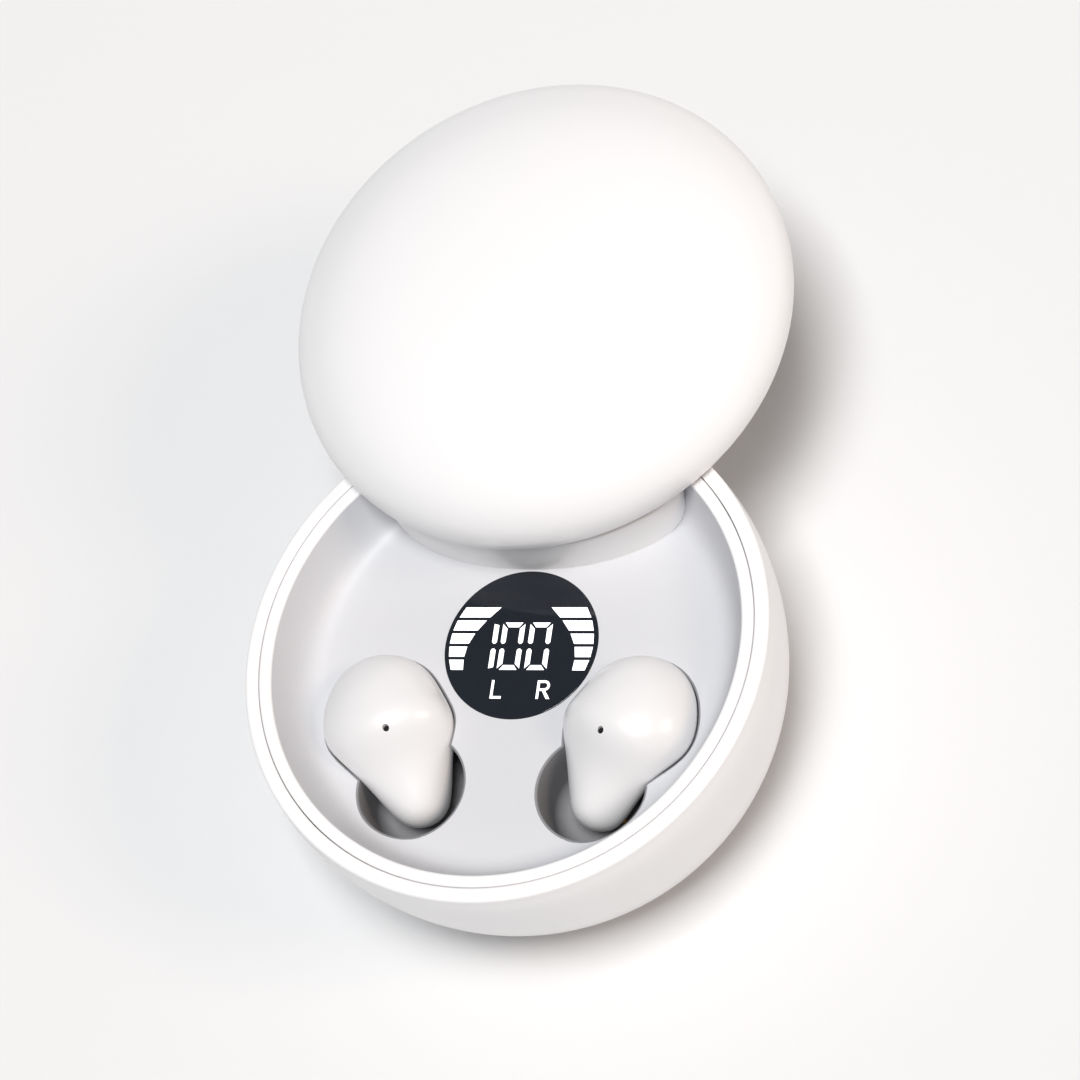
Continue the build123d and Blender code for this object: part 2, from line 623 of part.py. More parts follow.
# ----------------------------------------------------------------------------------------------------
# Buds.  Each is drawn once for the right-hand side and mirrored for the left.
# ----------------------------------------------------------------------------------------------------
PARTING_TILT = radians(15.0)
PARTING_DROP = 2.7
PARTING = Plane(
    origin=(HEAD.X, HEAD.Y, HEAD.Z - PARTING_DROP),
    z_dir=(LEAN.X * sin(PARTING_TILT), LEAN.Y * sin(PARTING_TILT), cos(PARTING_TILT)),
)


def bud_form(inset):
    """The bud's smooth outer form, a given distance inside its face."""
    with BuildPart() as form:
        for along, half_width, half_height, dip, shift in bud_sections(inset):
            middle = HEAD + LEAN * along + ACROSS * shift - Vector(0, 0, dip)
            with BuildSketch(Plane(origin=middle, x_dir=ACROSS, z_dir=LEAN)):
                Ellipse(half_width, half_height)
        loft()
    return form.part


def round_piece(x, y, z, height, r):
    """A flat round piece inside a bud."""
    with BuildPart() as disc:
        with BuildSketch(Plane.XY.offset(z)):
            with Locations((x, y)):
                Circle(r)
        extrude(amount=height)
    return disc.part


bud_outer = bud_form(0)
bud_inner = bud_form(BUD_WALL)

with BuildPart() as bud_face:
    add(bud_outer)
    add(bud_inner, mode=Mode.SUBTRACT)
    split(bisect_by=PARTING, keep=Keep.TOP)
    with BuildSketch(Plane.XY.offset(HEAD.Z)):
        with Locations((MIC_X, MIC_Y)):
            Circle(0.4)
    extrude(amount=HEAD_HALF_HEIGHT, mode=Mode.SUBTRACT)

with BuildPart() as bud_back:
    add(bud_outer)
    split(bisect_by=PARTING, keep=Keep.BOTTOM)
    with BuildSketch(Plane.XY.offset(NOZZLE_Z)):
        with Locations((NOZZLE_X, NOZZLE_Y)):
            Circle(NOZZLE_R)
    extrude(amount=RIM_Z - 9.0 - NOZZLE_Z)
    add(bud_inner, mode=Mode.SUBTRACT)
    with BuildSketch(Plane.XY.offset(NOZZLE_Z)):
        with Locations((NOZZLE_X, NOZZLE_Y)):
            Circle(NOZZLE_BORE_R)
    extrude(amount=RIM_Z - 8.4 - NOZZLE_Z, mode=Mode.SUBTRACT)
    with BuildSketch(Plane.XY.offset(TAIL.Z - TAIL_R)):
        with Locations(*PIN_PLACES):
            Circle(0.6)
    extrude(amount=TAIL_R - 2.0, mode=Mode.SUBTRACT)

with BuildPart() as ear_tip:
    with BuildSketch(Plane.XZ.offset(-NOZZLE_Y)):
        with BuildLine():
            skirt = Bezier(
                (NOZZLE_X + TIP_R, TIP_TOP_Z),
                (NOZZLE_X + TIP_R, TIP_TOP_Z - 1.8),
                (NOZZLE_X + 4.0, TIP_BASE_Z),
                (NOZZLE_X + NOZZLE_BORE_R, TIP_BASE_Z),
            )
            lining = Bezier(
                (NOZZLE_X + TIP_R - 0.5, TIP_TOP_Z),
                (NOZZLE_X + TIP_R - 0.5, TIP_TOP_Z - 1.4),
                (NOZZLE_X + 3.8, TIP_BASE_Z + 0.8),
                (NOZZLE_X + NOZZLE_R + 0.6, TIP_BASE_Z + 0.8),
            )
            Line(skirt @ 0, lining @ 0)
            Polyline(
                lining @ 1,
                (NOZZLE_X + NOZZLE_R + 0.6, TIP_TOP_Z),
                (NOZZLE_X + NOZZLE_R, TIP_TOP_Z),
                (NOZZLE_X + NOZZLE_R, NOZZLE_Z),
                (NOZZLE_X + NOZZLE_BORE_R, NOZZLE_Z),
                skirt @ 1,
            )
        make_face()
    revolve(axis=NOZZLE_AXIS)

with BuildPart() as mic_mesh:
    with BuildSketch(Plane.XY.offset(RIM_Z - 1.7)):
        with Locations((MIC_X, MIC_Y)):
            Circle(0.4)
    extrude(amount=0.45)

with BuildPart() as charge_contacts:
    with BuildSketch(Plane.XY.offset(TAIL.Z - 3.05)):
        with Locations(*PIN_PLACES):
            Circle(0.6)
    extrude(amount=1.0)

with BuildPart() as bud_magnet:
    with Locations(TAIL):
        Cylinder(1.3, 2.0)

with BuildPart() as charge_pins:
    with BuildSketch(Plane.XY.offset(TAIL_POCKET_Z - CUP_WALL)):
        with Locations(*PIN_PLACES):
            Circle(CHARGE_PIN_R)
    extrude(amount=TAIL.Z - 3.1 - TAIL_POCKET_Z + CUP_WALL)

with BuildPart() as cradle_magnet:
    with Locations(TAIL + LEAN * 3.0 + Vector(0, 0, TAIL_POCKET_Z - CUP_WALL - TAIL.Z)):
        Cylinder(1.3, 1.5, align=(Align.CENTER, Align.CENTER, Align.MAX))

RIGHT_HAND_PIECES = {
    "bud_face": bud_face.part,
    "bud_back": bud_back.part,
    "ear_tip": ear_tip.part,
    "nozzle_mesh": round_piece(NOZZLE_X, NOZZLE_Y, NOZZLE_Z + 0.1, 0.2, NOZZLE_BORE_R),
    "bud_driver": round_piece(HEAD.X, HEAD.Y, RIM_Z - 8.7, 1.3, 3.0),
    "bud_battery": round_piece(HEAD.X, HEAD.Y, RIM_Z - 7.2, 2.8, 4.8),
    "bud_board": round_piece(HEAD.X, HEAD.Y, RIM_Z - 4.4, 0.8, 4.9),
    "mic_mesh": mic_mesh.part,
    "charge_contacts": charge_contacts.part,
    "bud_magnet": bud_magnet.part,
    "charge_pins": charge_pins.part,
    "cradle_magnet": cradle_magnet.part,
}
for piece_name, piece in RIGHT_HAND_PIECES.items():
    save(mirror(piece, about=Plane.YZ), f"{piece_name}_left")
    save(piece, f"{piece_name}_right")
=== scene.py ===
"""Looks for a round charging case with two earbuds.

Holds the shapes, finishes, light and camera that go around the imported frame.
"""

import json
import logging
import math
from dataclasses import dataclass, field
from enum import Enum
from typing import Callable, Iterable, Sequence

import bmesh
import bpy
import numpy as np
from mathutils import Matrix, Vector


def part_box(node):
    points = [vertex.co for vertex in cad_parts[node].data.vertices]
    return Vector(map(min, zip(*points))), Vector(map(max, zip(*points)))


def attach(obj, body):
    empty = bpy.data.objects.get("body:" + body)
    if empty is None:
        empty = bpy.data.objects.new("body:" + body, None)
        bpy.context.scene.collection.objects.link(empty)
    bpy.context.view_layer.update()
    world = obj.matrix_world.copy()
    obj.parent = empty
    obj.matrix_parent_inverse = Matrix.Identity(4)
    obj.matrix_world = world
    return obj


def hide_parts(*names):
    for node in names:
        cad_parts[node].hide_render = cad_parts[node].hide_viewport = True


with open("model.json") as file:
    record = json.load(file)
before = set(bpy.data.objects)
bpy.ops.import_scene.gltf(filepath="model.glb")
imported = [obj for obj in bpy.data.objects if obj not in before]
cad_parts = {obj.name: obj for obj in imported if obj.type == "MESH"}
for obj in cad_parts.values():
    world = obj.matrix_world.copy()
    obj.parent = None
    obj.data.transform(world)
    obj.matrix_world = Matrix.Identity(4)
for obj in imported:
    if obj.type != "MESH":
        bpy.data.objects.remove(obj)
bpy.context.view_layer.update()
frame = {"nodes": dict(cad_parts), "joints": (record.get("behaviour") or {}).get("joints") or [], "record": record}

LOG = logging.getLogger("charging_case")
MM = 0.001
TURN = 2 * math.pi
SAME_POINT = 1e-7
SMALLEST_R = 1e-6

Point2 = tuple[float, float]
Profile = list[Point2]
Pair = tuple[np.ndarray, np.ndarray]
Piece = bpy.types.Object
Tree = bpy.types.NodeTree
Socket = bpy.types.NodeSocket


# ---- Sizes read from the frame ----
def low(node: str) -> Vector:
    """Lowest corner of a frame node, in metres."""
    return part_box(node)[0]


def high(node: str) -> Vector:
    """Highest corner of a frame node, in metres."""
    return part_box(node)[1]


def joint(name: str) -> dict:
    """One joint of the frame, by name."""
    return next(entry for entry in frame["joints"] if entry["name"] == name)


WINDOW_SUNK = 1.0 * MM
RIM_Z = high("outer_shell").z
FLOOR_Z = low("display_window").z + WINDOW_SUNK
PIVOT_Y = joint("lid_swivel")["pos_m"][1]
LID_Y = 2 * PIVOT_Y


# ---- Curves and meshes ----
def bezier(p0: Point2, p1: Point2, p2: Point2, p3: Point2, steps: int) -> Profile:
    """Points along a cubic curve with control points p0 to p3, one more than its steps."""
    points = []
    for k in range(steps + 1):
        t = k / steps
        a, b, c, d = (1 - t) ** 3, 3 * t * (1 - t) ** 2, 3 * t * t * (1 - t), t**3
        x = a * p0[0] + b * p1[0] + c * p2[0] + d * p3[0]
        y = a * p0[1] + b * p1[1] + c * p2[1] + d * p3[1]
        points.append((x, y))
    return points


def cos_sin(degrees: float) -> Point2:
    """Cosine and sine of an angle."""
    return math.cos(math.radians(degrees)), math.sin(math.radians(degrees))


def arc(centre: Point2, radius: float, start: float, end: float, steps: int) -> Profile:
    """Points along a circular arc, with start and end in degrees from the first axis."""
    angles = [math.radians(start + (end - start) * k / steps) for k in range(steps + 1)]
    return [(centre[0] + radius * math.cos(a), centre[1] + radius * math.sin(a)) for a in angles]


def line(start: Point2, end: Point2, steps: int) -> Profile:
    """Evenly spaced points on a straight run, both ends included."""
    (x0, y0), (x1, y1) = start, end
    return [(x0 + (x1 - x0) * k / steps, y0 + (y1 - y0) * k / steps) for k in range(steps + 1)]


def joined(*runs: Profile) -> Profile:
    """Runs put end to end, with shared end points kept once."""
    out: Profile = []
    for run in runs:
        for point in run:
            if not out or math.dist(out[-1], point) > SAME_POINT:
                out.append(point)
    return out


@dataclass
class MeshDraft:
    """A mesh being put together from rings of points."""

    points: list[np.ndarray] = field(default_factory=list)
    faces: list[tuple[int, ...]] = field(default_factory=list)
    count: int = 0

    def add_points(self, points: np.ndarray) -> int:
        """Adds points and returns the index of the first."""
        first = self.count
        self.points.append(np.asarray(points, float))
        self.count += len(points)
        return first

    def bridge(self, first: int, second: int, size: int) -> None:
        """Joins two closed rings of the same size with quads."""
        for k in range(size):
            n = (k + 1) % size
            self.faces.append((first + k, first + n, second + n, second + k))

    def fan(self, ring: int, size: int, centre: np.ndarray, flip: bool = False) -> None:
        """Closes a ring onto one centre point."""
        tip = self.add_points(np.array([centre]))
        for k in range(size):
            n = (k + 1) % size
            self.faces.append((tip, ring + n, ring + k) if flip else (tip, ring + k, ring + n))

    def stack(self, rings: Sequence[np.ndarray], caps: bool = True) -> list[int]:
        """Adds closed rings, each joined to the one before, with both ends closed if asked."""
        firsts = [self.add_points(ring) for ring in rings]
        size = len(rings[0])
        for a, b in zip(firsts, firsts[1:]):
            self.bridge(a, b, size)
        if caps:
            self.fan(firsts[0], size, rings[0].mean(0), flip=True)
            self.fan(firsts[-1], size, rings[-1].mean(0))
        return firsts

    def build(self, name: str, smooth_angle: float = 40.0) -> Piece:
        """Makes the object, smooth across edges flatter than the angle in degrees."""
        mesh = bpy.data.meshes.new(name)
        mesh.from_pydata(np.concatenate(self.points).tolist(), [], self.faces)
        mesh.validate()
        piece = bpy.data.objects.new(name, mesh)
        bpy.context.scene.collection.objects.link(piece)
        tidy_normals(piece, smooth_angle)
        return piece


def tidy_normals(piece: Piece, smooth_angle: float) -> None:
    """Points the faces outward, smooths them and keeps edges over the given angle sharp."""
    draft = bmesh.new()
    draft.from_mesh(piece.data)
    bmesh.ops.recalc_face_normals(draft, faces=draft.faces)
    draft.to_mesh(piece.data)
    draft.free()
    piece.data.shade_smooth()
    piece.data.set_sharp_from_angle(angle=math.radians(smooth_angle))


def circle_ring(radius: float, z: float, centre: Point2, segments: int) -> np.ndarray:
    """A level ring of points."""
    a = np.arange(segments) * TURN / segments
    x, y = centre[0] + radius * np.cos(a), centre[1] + radius * np.sin(a)
    return np.c_[x, y, np.full(segments, z)]


def revolve(
    name: str, profile: Profile, centre: Point2 = (0.0, 0.0), segments: int = 256
) -> Piece:
    """Turns a profile of (radius, height) about an upright axis.

    Args:
        name: the piece's name.
        profile: points in metres; a radius of zero makes a pole.
        centre: where the axis stands.
        segments: points round each ring.

    Returns:
        The piece.
    """
    draft = MeshDraft()
    last: int | None = None
    pole: int | None = None
    for radius, z in profile:
        if radius < SMALLEST_R:
            if last is None:
                pole = draft.add_points(np.array([(*centre, z)]))
            else:
                draft.fan(last, segments, np.array((*centre, z)))
                last = None
            continue
        ring = draft.add_points(circle_ring(radius, z, centre, segments))
        if pole is not None:
            for k in range(segments):
                draft.faces.append((pole, ring + (k + 1) % segments, ring + k))
            pole = None
        if last is not None:
            draft.bridge(last, ring, segments)
        last = ring
    return draft.build(name)


def cut(piece: Piece, cutter: Piece, smooth_angle: float = 40.0) -> None:
    """Takes the cutter's solid out of the piece and removes the cutter."""
    modifier = piece.modifiers.new("cut", "BOOLEAN")
    modifier.operation = "DIFFERENCE"
    modifier.solver = "EXACT"
    modifier.object = cutter
    bpy.context.view_layer.update()
    depsgraph = bpy.context.evaluated_depsgraph_get()
    result = bpy.data.meshes.new_from_object(piece.evaluated_get(depsgraph))
    piece.modifiers.clear()
    piece.data = result
    result.name = piece.name
    bpy.data.objects.remove(cutter)
    tidy_normals(piece, smooth_angle)


def plates(name: str, outlines: Sequence[Profile], z: float, thickness: float) -> Piece:
    """Thin flat plates with upright sides, one for each outline, as one piece."""
    draft = MeshDraft()
    for outline in outlines:
        base = np.array([(x, y, z) for x, y in outline])
        a, b = draft.add_points(base), draft.add_points(base + np.array([0, 0, thickness]))
        size = len(outline)
        draft.bridge(a, b, size)
        draft.faces.append(tuple(range(a, a + size)))
        draft.faces.append(tuple(range(b, b + size)))
    return draft.build(name)


# ---- Finishes ----
def linear(colour: str) -> tuple[float, float, float, float]:
    """An sRGB hex colour as linear red, green, blue and alpha."""
    values = [int(colour[k : k + 2], 16) / 255 for k in (1, 3, 5)]
    r, g, b = [v / 12.92 if v <= 0.04045 else ((v + 0.055) / 1.055) ** 2.4 for v in values]
    return (r, g, b, 1.0)


def add_node(
    tree: Tree,
    kind: str,
    settings: dict[str, object] | None = None,
    values: dict[str | int, object] | None = None,
    links: dict[str | int, Socket] | None = None,
) -> bpy.types.Node:
    """Adds one shader node.

    Args:
        tree: the material's node tree.
        kind: the node's type name.
        settings: the node's own properties.
        values: fixed values for its inputs, by name or number.
        links: sockets that feed its inputs, by name or number.

    Returns:
        The node.
    """
    node = tree.nodes.new(kind)
    for name, value in (settings or {}).items():
        setattr(node, name, value)
    for name, value in (values or {}).items():
        node.inputs[name].default_value = value
    for name, socket in (links or {}).items():
        tree.links.new(socket, node.inputs[name])
    return node


def noise(tree: Tree, point: Socket, pitch_mm: float, detail: float, roughness: float) -> Socket:
    """Even noise of a given pitch."""
    values = {"Scale": 1 / (pitch_mm * MM), "Detail": detail, "Roughness": roughness}
    node = add_node(tree, "ShaderNodeTexNoise", values=values, links={"Vector": point})
    return node.outputs["Fac"]


@dataclass(frozen=True)
class Finish:
    """A surface finish: two close colours and roughnesses in soft patches, and a grain."""

    name: str
    colour: str
    second_colour: str
    mottle_mm: float
    roughness: tuple[float, float]
    grain_mm: float
    grain_depth_mm: float
    metallic: float = 0.0
    ior: float = 1.5
    coat: float = 0.0
    coat_roughness: float = 0.03
    glow: float = 0.0
    sheen: float = 0.0

    def material(self) -> bpy.types.Material:
        """The finish as a node material, made once."""
        found = bpy.data.materials.get(self.name)
        if found is not None:
            return found
        material = bpy.data.materials.new(self.name)
        material.use_nodes = True
        tree = material.node_tree
        tree.nodes.clear()
        point = add_node(tree, "ShaderNodeTexCoord").outputs["Object"]
        patches = noise(tree, point, self.mottle_mm, 3.0, 0.55)
        colours = {6: linear(self.colour), 7: linear(self.second_colour)}
        tint = add_node(tree, "ShaderNodeMix", {"data_type": "RGBA"}, colours, {0: patches})
        least, most = self.roughness
        ends = {"From Min": 0.3, "From Max": 0.7, "To Min": least, "To Max": most}
        gloss = add_node(tree, "ShaderNodeMapRange", values=ends, links={"Value": patches})
        height = self.height(tree, point)
        depth = {"Strength": 1.0, "Distance": self.grain_depth_mm * MM}
        bump = add_node(tree, "ShaderNodeBump", values=depth, links={"Height": height})
        values = {
            "Metallic": self.metallic,
            "Coat Weight": self.coat,
            "Coat Roughness": self.coat_roughness,
            "Sheen Weight": self.sheen,
        }
        if not self.metallic:
            values["IOR"] = self.ior
        if self.glow:
            values["Emission Color"] = linear(self.colour)
            values["Emission Strength"] = self.glow
        links = {
            "Base Color": tint.outputs[2],
            "Roughness": gloss.outputs["Result"],
            "Normal": bump.outputs["Normal"],
        }
        shader = add_node(tree, "ShaderNodeBsdfPrincipled", values=values, links=links)
        add_node(tree, "ShaderNodeOutputMaterial", links={"Surface": shader.outputs["BSDF"]})
        return material

    def height(self, tree: Tree, point: Socket) -> Socket:
        """The fine surface texture, as a height."""
        return noise(tree, point, self.grain_mm, 2.0, 0.5)


@dataclass(frozen=True)
class WovenFinish(Finish):
    """A finish with a woven or meshed surface, its threads running along X and Y."""

    thread_mm: float = 0.1

    def height(self, tree: Tree, point: Socket) -> Socket:
        """Crossing threads, as a height."""
        values = {"Scale": 1 / (self.thread_mm * MM * TURN), "Distortion": 0.0}
        waves = {}
        for k, direction in enumerate("XY"):
            bands = {"wave_type": "BANDS", "bands_direction": direction}
            wave = add_node(tree, "ShaderNodeTexWave", bands, values, {"Vector": point})
            waves[k] = wave.outputs["Fac"]
        return add_node(tree, "ShaderNodeMath", {"operation": "MAXIMUM"}, links=waves).outputs[0]


@dataclass(frozen=True)
class TurnedFinish(Finish):
    """A metal finish with the fine marks of turning, running round the upright axis."""

    line_mm: float = 0.15

    def height(self, tree: Tree, point: Socket) -> Socket:
        """Fine lines, as a height."""
        rings = {"wave_type": "RINGS", "rings_direction": "Z"}
        values = {"Scale": 1 / (self.line_mm * MM * TURN), "Distortion": 2.0, "Detail": 2.0}
        wave = add_node(tree, "ShaderNodeTexWave", rings, values, {"Vector": point})
        return wave.outputs["Fac"]


# Injection-moulded ABS from a polished tool: white, with a soft wide highlight.
GLOSS_ABS = Finish(
    "gloss_abs_moulded", "#F5F4F4", "#F2F1F1", 9.0, (0.30, 0.36), 1.4, 0.004, ior=1.54, coat=0.15
)
# ABS from a finely blasted tool, with a duller, even surface; its greyer white is partly the plastic's own tone
# and partly painted shade of the well, darker than the white tray ring.
SATIN_ABS_PAINTED_SHADE = Finish(
    "satin_abs_grey_and_painted_shade", "#D1D1D4", "#CDCED1", 7.0, (0.42, 0.50), 0.35, 0.004, ior=1.54
)
# Painted shade for the deep pockets: a mid grey standing in for the shade inside them, without a highlight.
POCKET_PAINTED_SHADE = Finish(
    "pocket_painted_shade_grey", "#88888B", "#828285", 5.0, (0.6, 0.7), 0.25, 0.006, ior=1.5
)
# Polished ABS of the bud shells: slightly warmer, a tight highlight over a soft one.
BUD_ABS = Finish(
    "bud_abs_polished", "#E9E8E8", "#E6E5E5", 9.0, (0.30, 0.34), 2.5, 0.001, ior=1.54, coat=0.2
)
# Smoked acrylic, polished: nearly black, mirror-like at a glance.
SMOKED_ACRYLIC = Finish(
    "smoked_acrylic_polished", "#1B1F26", "#1E2229", 12.0, (0.05, 0.08), 3.0, 0.0005, ior=1.49
)
# Lit figures seen through the window: even, cool white.
LIT_SEGMENT = Finish(
    "led_segment_lit", "#FFFFFF", "#F4F8FF", 2.0, (0.5, 0.6), 0.2, 0.001, glow=0.9
)
# Silicone, matt from the tool: grey, without a highlight.
SILICONE_PAD = Finish(
    "silicone_moulded_grey", "#8B8C8E", "#838486", 3.0, (0.7, 0.8), 0.3, 0.01, ior=1.41
)
# Softer silicone for the ear tips: off-white, with a faint sheen at its edges.
SILICONE_TIP = Finish(
    "silicone_moulded_white", "#E4E3E2", "#DAD9D8", 2.0, (0.5, 0.6), 0.2, 0.004, ior=1.41, sheen=0.2
)
# Diffusing polycarbonate: milky white and even.
LIGHT_GUIDE = Finish(
    "polycarbonate_diffusing", "#F2F2F0", "#E8E8E6", 2.0, (0.5, 0.6), 0.2, 0.003, ior=1.58
)
# Screened solder mask on a circuit board: dark green with a thin gloss.
SOLDER_MASK = Finish(
    "solder_mask_screened", "#0E4A2C", "#0B3D25", 2.5, (0.3, 0.4), 0.25, 0.01, ior=1.5, coat=0.3
)
# Moulded epoxy of chips and speaker frames: black and dull.
EPOXY_BODY = Finish(
    "epoxy_moulded_black", "#151517", "#1C1C1F", 1.0, (0.5, 0.65), 0.1, 0.006, ior=1.55
)
# Turned or stamped steel: bright grey with fine lines.
STEEL = TurnedFinish(
    "steel_turned", "#B4B5B8", "#A3A5A8", 1.5, (0.25, 0.4), 0.1, 0.002, metallic=1.0
)
# Turned brass: yellow with fine lines.
BRASS = TurnedFinish(
    "brass_turned", "#C9A256", "#B58F48", 1.5, (0.25, 0.35), 0.1, 0.002, metallic=1.0
)
# Gold plate over turned brass: deeper yellow and brighter.
GOLD_PLATE = TurnedFinish(
    "gold_plated_brass", "#E3B85C", "#D5A74A", 0.8, (0.15, 0.25), 0.1, 0.001, metallic=1.0
)
# Nickel plate on magnets: bright and almost smooth.
NICKEL_PLATE = Finish(
    "nickel_plated_magnet", "#C6C7CA", "#B6B8BC", 1.2, (0.15, 0.3), 0.3, 0.002, metallic=1.0
)
# Laminated foil of a cell: silver grey, slightly rippled.
CELL_FILM = Finish(
    "cell_film_laminated", "#9DA3AA", "#8C9299", 4.0, (0.3, 0.45), 0.8, 0.02, metallic=1.0
)
# Closed-cell foam: black, pitted and without any gloss.
FOAM = Finish("foam_closed_cell", "#1D1D1F", "#29292B", 0.5, (0.85, 0.95), 0.2, 0.05)
# Moulded nylon: natural cream, dull.
NYLON = Finish("nylon_moulded", "#E0DCCF", "#D5D1C4", 2.0, (0.45, 0.55), 0.2, 0.004, ior=1.53)
# Woven steel mesh: grey, its wires crossing at right angles.
STEEL_MESH = WovenFinish(
    "steel_mesh_woven", "#7C7D80", "#5E5F62", 0.5, (0.35, 0.5), 0.1, 0.02, metallic=1.0
)
# Acoustic cloth behind the microphone hole: black and deep.
MIC_CLOTH = WovenFinish(
    "acoustic_cloth_woven", "#060607", "#0C0C0D", 0.3, (0.8, 0.95), 0.1, 0.02, thread_mm=0.08
)
# Seamless backdrop paper: matt and even.
PAPER = Finish("backdrop_paper", "#E4E4E4", "#E3E3E3", 60.0, (0.9, 0.95), 1.0, 0.003, ior=1.1)


class Slot(Enum):
    """The record's material slots, each with its finish."""

    shell_white = GLOSS_ABS
    tray_white = SATIN_ABS_PAINTED_SHADE
    bud_white = BUD_ABS
    silicone_grey = SILICONE_PAD
    display_black = SMOKED_ACRYLIC
    light_guide = LIGHT_GUIDE
    circuit_board = SOLDER_MASK
    chip_black = EPOXY_BODY
    steel = STEEL
    cell_wrap = CELL_FILM
    foam = FOAM
    magnet_plate = NICKEL_PLATE
    brass = BRASS
    nylon = NYLON
    ear_silicone = SILICONE_TIP
    mesh_steel = STEEL_MESH
    mic_black = MIC_CLOTH
    gold_contact = GOLD_PLATE


def dress(piece: Piece, finish: Finish) -> None:
    """Gives a piece one finish all over."""
    piece.data.materials.clear()
    piece.data.materials.append(finish.material())


def place(
    piece: Piece, body: str, slot: Slot, nodes: Iterable[str] = (), finish: Finish | None = None
) -> None:
    """Finishes a piece, puts it on its body and hides the frame nodes it stands for.

    Args:
        piece: the finished mesh.
        body: the frame body it moves with.
        slot: the record's material slot.
        nodes: frame nodes it stands for.
        finish: used instead of the slot's own.
    """
    dress(piece, finish or slot.value)
    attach(piece, body)
    if nodes:
        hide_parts(*nodes)
    LOG.info("%s on %s, %d faces", piece.name, body, len(piece.data.polygons))


# ---- The form shared by the buds and their pockets ----
# Places on the right-hand side, and the middle of the display.
MIC = Vector((12.35 * MM, -9.7 * MM, 0.0))
TIP_POCKET = Vector((15.0 * MM, -5.64 * MM, 0.0))
DISPLAY = Vector((0.0, 2.4 * MM, FLOOR_Z))
DISPLAY_R = high("display_window").x


class Side(Enum):
    """Which ear a bud is for, as the sign of its place along X."""

    left = -1
    right = 1


def smooth_curve(places: np.ndarray, values: np.ndarray, where: np.ndarray) -> np.ndarray:
    """Values between stations along curves with no change of bend at a station.

    Args:
        places: the stations' places, rising.
        values: one row of numbers for each station.
        where: places to read.

    Returns:
        One row for each place read.
    """
    h = np.diff(places)
    n = len(places)
    system, right = np.eye(n), np.zeros_like(values)
    for k in range(1, n - 1):
        system[k, k - 1 : k + 2] = (h[k - 1], 2 * (h[k - 1] + h[k]), h[k])
        right[k] = 6 * ((values[k + 1] - values[k]) / h[k] - (values[k] - values[k - 1]) / h[k - 1])
    bend = np.linalg.solve(system, right)
    k = np.clip(np.searchsorted(places, where) - 1, 0, n - 2)
    span = h[k][:, None]
    a = ((places[k + 1] - where) / h[k])[:, None]
    b = 1 - a
    curved = ((a**3 - a) * bend[k] + (b**3 - b) * bend[k + 1]) * span**2 / 6
    return a * values[k] + b * values[k + 1] + curved


@dataclass
class BudForm:
    """The smooth form of a right-hand bud: upright ovals along a line from the head to the tail."""

    head: Vector = Vector((14.19 * MM, -7.25 * MM, RIM_Z - 5.25 * MM))
    half_width: float = 7.05 * MM
    head_reach: float = 8.0 * MM
    half_height: float = 5.0 * MM
    tail: Vector = Vector((10.57 * MM, -14.45 * MM, RIM_Z - 9.3 * MM))
    tail_r: float = 3.45 * MM
    neck: tuple[tuple[float, ...], ...] = (
        (2.8 * MM, 6.55 * MM, 4.63 * MM, 0.17 * MM, -0.55 * MM),
        (5.65 * MM, 5.15 * MM, 3.65 * MM, 1.7 * MM, -0.45 * MM),
    )

    @property
    def lean(self) -> Vector:
        """Level direction from the head to the tail."""
        return Vector((self.tail.x - self.head.x, self.tail.y - self.head.y)).normalized()

    def sections(self, room: float = 0.0) -> list[tuple[float, ...]]:
        """Rows of distance from the head, half width and height, dip and shift, grown by room."""
        reach = Vector((self.tail.x - self.head.x, self.tail.y - self.head.y)).length
        rows = []
        for turn in (-90, -60, -30, 0):
            c, s = cos_sin(turn)
            half_w, half_h = (self.half_width + room) * c, (self.half_height + room) * c
            rows.append(((self.head_reach + room) * s, half_w, half_h, 0.0, 0.0))
        for along, half_w, half_h, dip, shift in self.neck:
            rows.append((along, half_w + room, half_h + room, dip, shift))
        for turn in (30, 60, 90):
            c, s = cos_sin(turn)
            size = (self.tail_r + room) * c
            along = reach + (self.tail_r + room) * s
            rows.append((along, size, size, self.head.z - self.tail.z, 0.0))
        return rows

    def stations(self, count: int, room: float = 0.0) -> Pair:
        """Places along the line, closer together at both ends, and the section at each."""
        rows = np.array(self.sections(room))
        middle, half = (rows[-1, 0] + rows[0, 0]) / 2, (rows[-1, 0] - rows[0, 0]) / 2
        turn = np.arccos(np.clip((middle - rows[:, 0]) / half, -1, 1))
        mirror = np.array([-1, -1, 1, 1])
        places = np.r_[-turn[2:0:-1], turn, TURN - turn[-2:-4:-1]]
        values = np.r_[rows[2:0:-1, 1:] * mirror, rows[:, 1:], rows[-2:-4:-1, 1:] * mirror]
        read = np.linspace(0, math.pi, count)
        found = smooth_curve(places, values, read)
        found[:, :2] = np.maximum(found[:, :2], SMALLEST_R)
        return middle - half * np.cos(read), found

    def level(self, side: Side, along: np.ndarray, across: np.ndarray) -> Pair:
        """X and Y of points given along and across the line, for either ear."""
        x = self.head.x + self.lean.x * along - self.lean.y * across
        y = self.head.y + self.lean.y * along + self.lean.x * across
        return side.value * x, y

    def outline(self, side: Side, room: float) -> np.ndarray:
        """The form's outline from above, grown all round."""
        where, rows = self.stations(60, room)
        across = np.r_[rows[:, 3] - rows[:, 0], (rows[:, 3] + rows[:, 0])[::-1]]
        return np.c_[self.level(side, np.r_[where, where[::-1]], across)]


BUD = BudForm()


